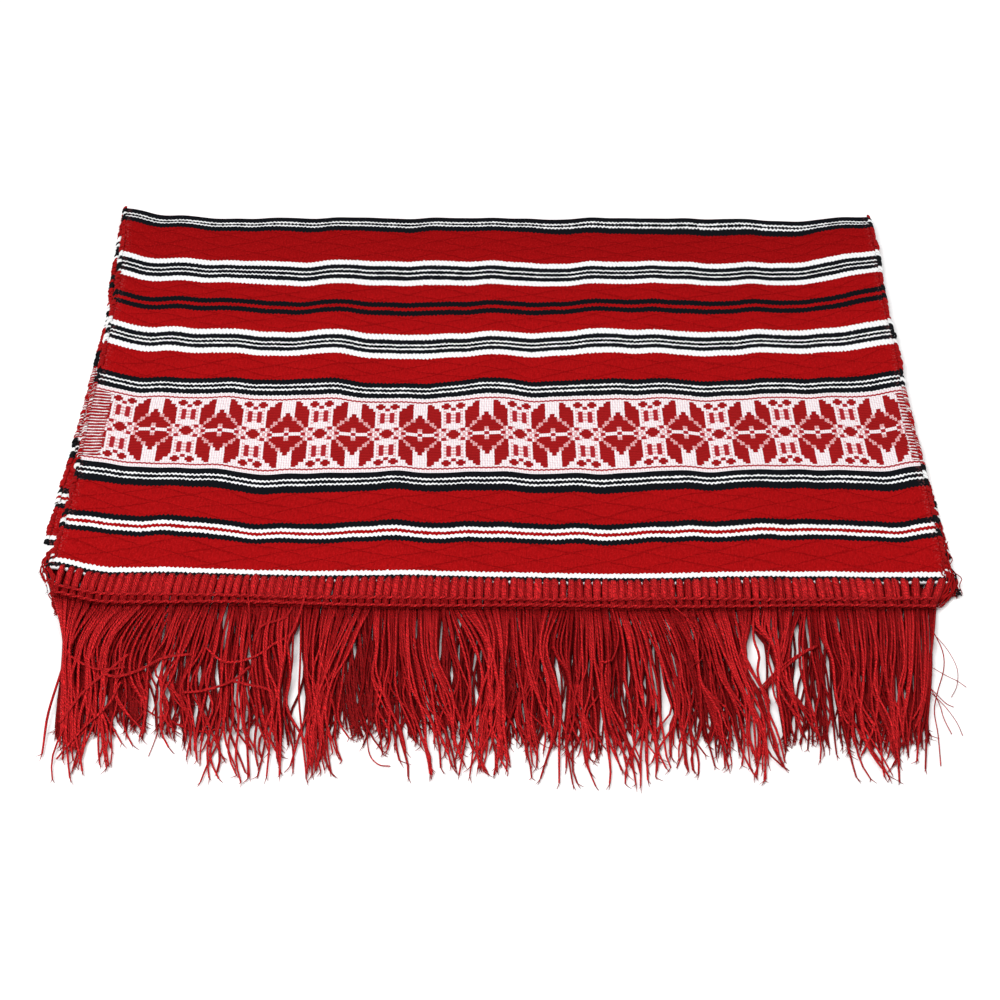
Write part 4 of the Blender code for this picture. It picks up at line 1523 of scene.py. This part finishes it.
class TOWEL_OT_strands(bpy.types.Operator):
    """Lay the strands of both fringes over each other and onto the floor."""
    bl_idname = "towel.strands"
    bl_label = "Fringe strands"

    def execute(self, context):
        props = context.scene.towel_yarn
        groups = shared_groups()
        colours = palette(props)
        material = yarn_material("strand_yarn", colours, groups, STRAND_TURNS)
        shaded = yarn_material("shaded_strand_yarn", colours, groups, STRAND_TURNS, LOWER_STRAND_SHADE)
        for fringe, own_material in ((LOWER_FRINGE, shaded), (UPPER_FRINGE, material)):
            name = fringe.side + "_strands"
            mesh, middles = strands(name, fringe, props.strand_radius)
            finish_piece(name, mesh, own_material, fringe.node)
            name = fringe.side + "_frayed_tips"
            fibres = frayed_tips(name, middles, fringe.fibre_radius, fringe.fibre_seed)
            finish_piece(name, fibres, material)
        finish_piece("stray_threads", stray_threads("stray_threads", 45), material)
        finish_piece("corner_tufts", corner_tufts("corner_tufts", 48),
                     selvedge_material(colours, groups))
        return {"FINISHED"}


class TOWEL_OT_stage(bpy.types.Operator):
    """Set the plain floor, the soft lights and the camera."""
    bl_idname = "towel.stage"
    bl_label = "Stage"

    def execute(self, context):
        props = context.scene.towel_stage
        material, nodes, shader = principled("floor_paper", 0.9, 0.1)
        low = tuple(c * 0.985 for c in props.floor_colour) + (1.0,)
        high = tuple(props.floor_colour) + (1.0,)
        mottle = nodes.noise(nodes.object_place(), 9.0, 2.0)
        nodes.set(shader.inputs["Base Color"], nodes.mix(mottle, low, high))
        new_object("floor", grid_mesh("floor", 1, 1, 4.0), material)

        world = bpy.data.worlds.new("white_surroundings")
        world.use_nodes = True
        background = world.node_tree.nodes["Background"]
        background.inputs["Color"].default_value = (1.0, 1.0, 1.0, 1.0)
        background.inputs["Strength"].default_value = props.fill_strength
        context.scene.world = world
        aimed_light("key_softbox", (-0.55, -0.75, 1.25), (0.0, -0.02, 0.0), 0.9, props.key_energy)
        aimed_light("top_softbox", (0.35, 0.25, 1.30), (0.0, 0.0, 0.0), 0.8, props.key_energy * 0.35)
        context.scene.view_settings.view_transform = "Standard"
        place_camera()
        return {"FINISHED"}


class TOWEL_PT_pieces(bpy.types.Panel):
    """Lists the towel's pieces and their settings in the sidebar."""
    bl_label = "Folded Towel"
    bl_idname = "TOWEL_PT_pieces"
    bl_space_type = "VIEW_3D"
    bl_region_type = "UI"
    bl_category = "Towel"

    def draw(self, context):
        column = self.layout.column()
        for name in TowelYarnProps.__annotations__:
            column.prop(context.scene.towel_yarn, name)
        for name in TowelStageProps.__annotations__:
            column.prop(context.scene.towel_stage, name)
        for operator in OPERATORS:
            column.operator(operator.bl_idname)


OPERATORS = (TOWEL_OT_woven_cloth, TOWEL_OT_selvedges, TOWEL_OT_headings, TOWEL_OT_chain_stitch,
             TOWEL_OT_strands, TOWEL_OT_stage)
CLASSES = (TowelYarnProps, TowelStageProps) + OPERATORS + (TOWEL_PT_pieces,)


def register():
    for cls in CLASSES:
        bpy.utils.register_class(cls)
    bpy.types.Scene.towel_yarn = bpy.props.PointerProperty(type=TowelYarnProps)
    bpy.types.Scene.towel_stage = bpy.props.PointerProperty(type=TowelStageProps)


def unregister():
    del bpy.types.Scene.towel_stage
    del bpy.types.Scene.towel_yarn
    for cls in reversed(CLASSES):
        bpy.utils.unregister_class(cls)


def main():
    register()
    bpy.ops.towel.woven_cloth()
    bpy.ops.towel.selvedges()
    bpy.ops.towel.headings()
    bpy.ops.towel.chain_stitch()
    bpy.ops.towel.strands()
    bpy.ops.towel.stage()


if __name__ == "__main__":
    main()
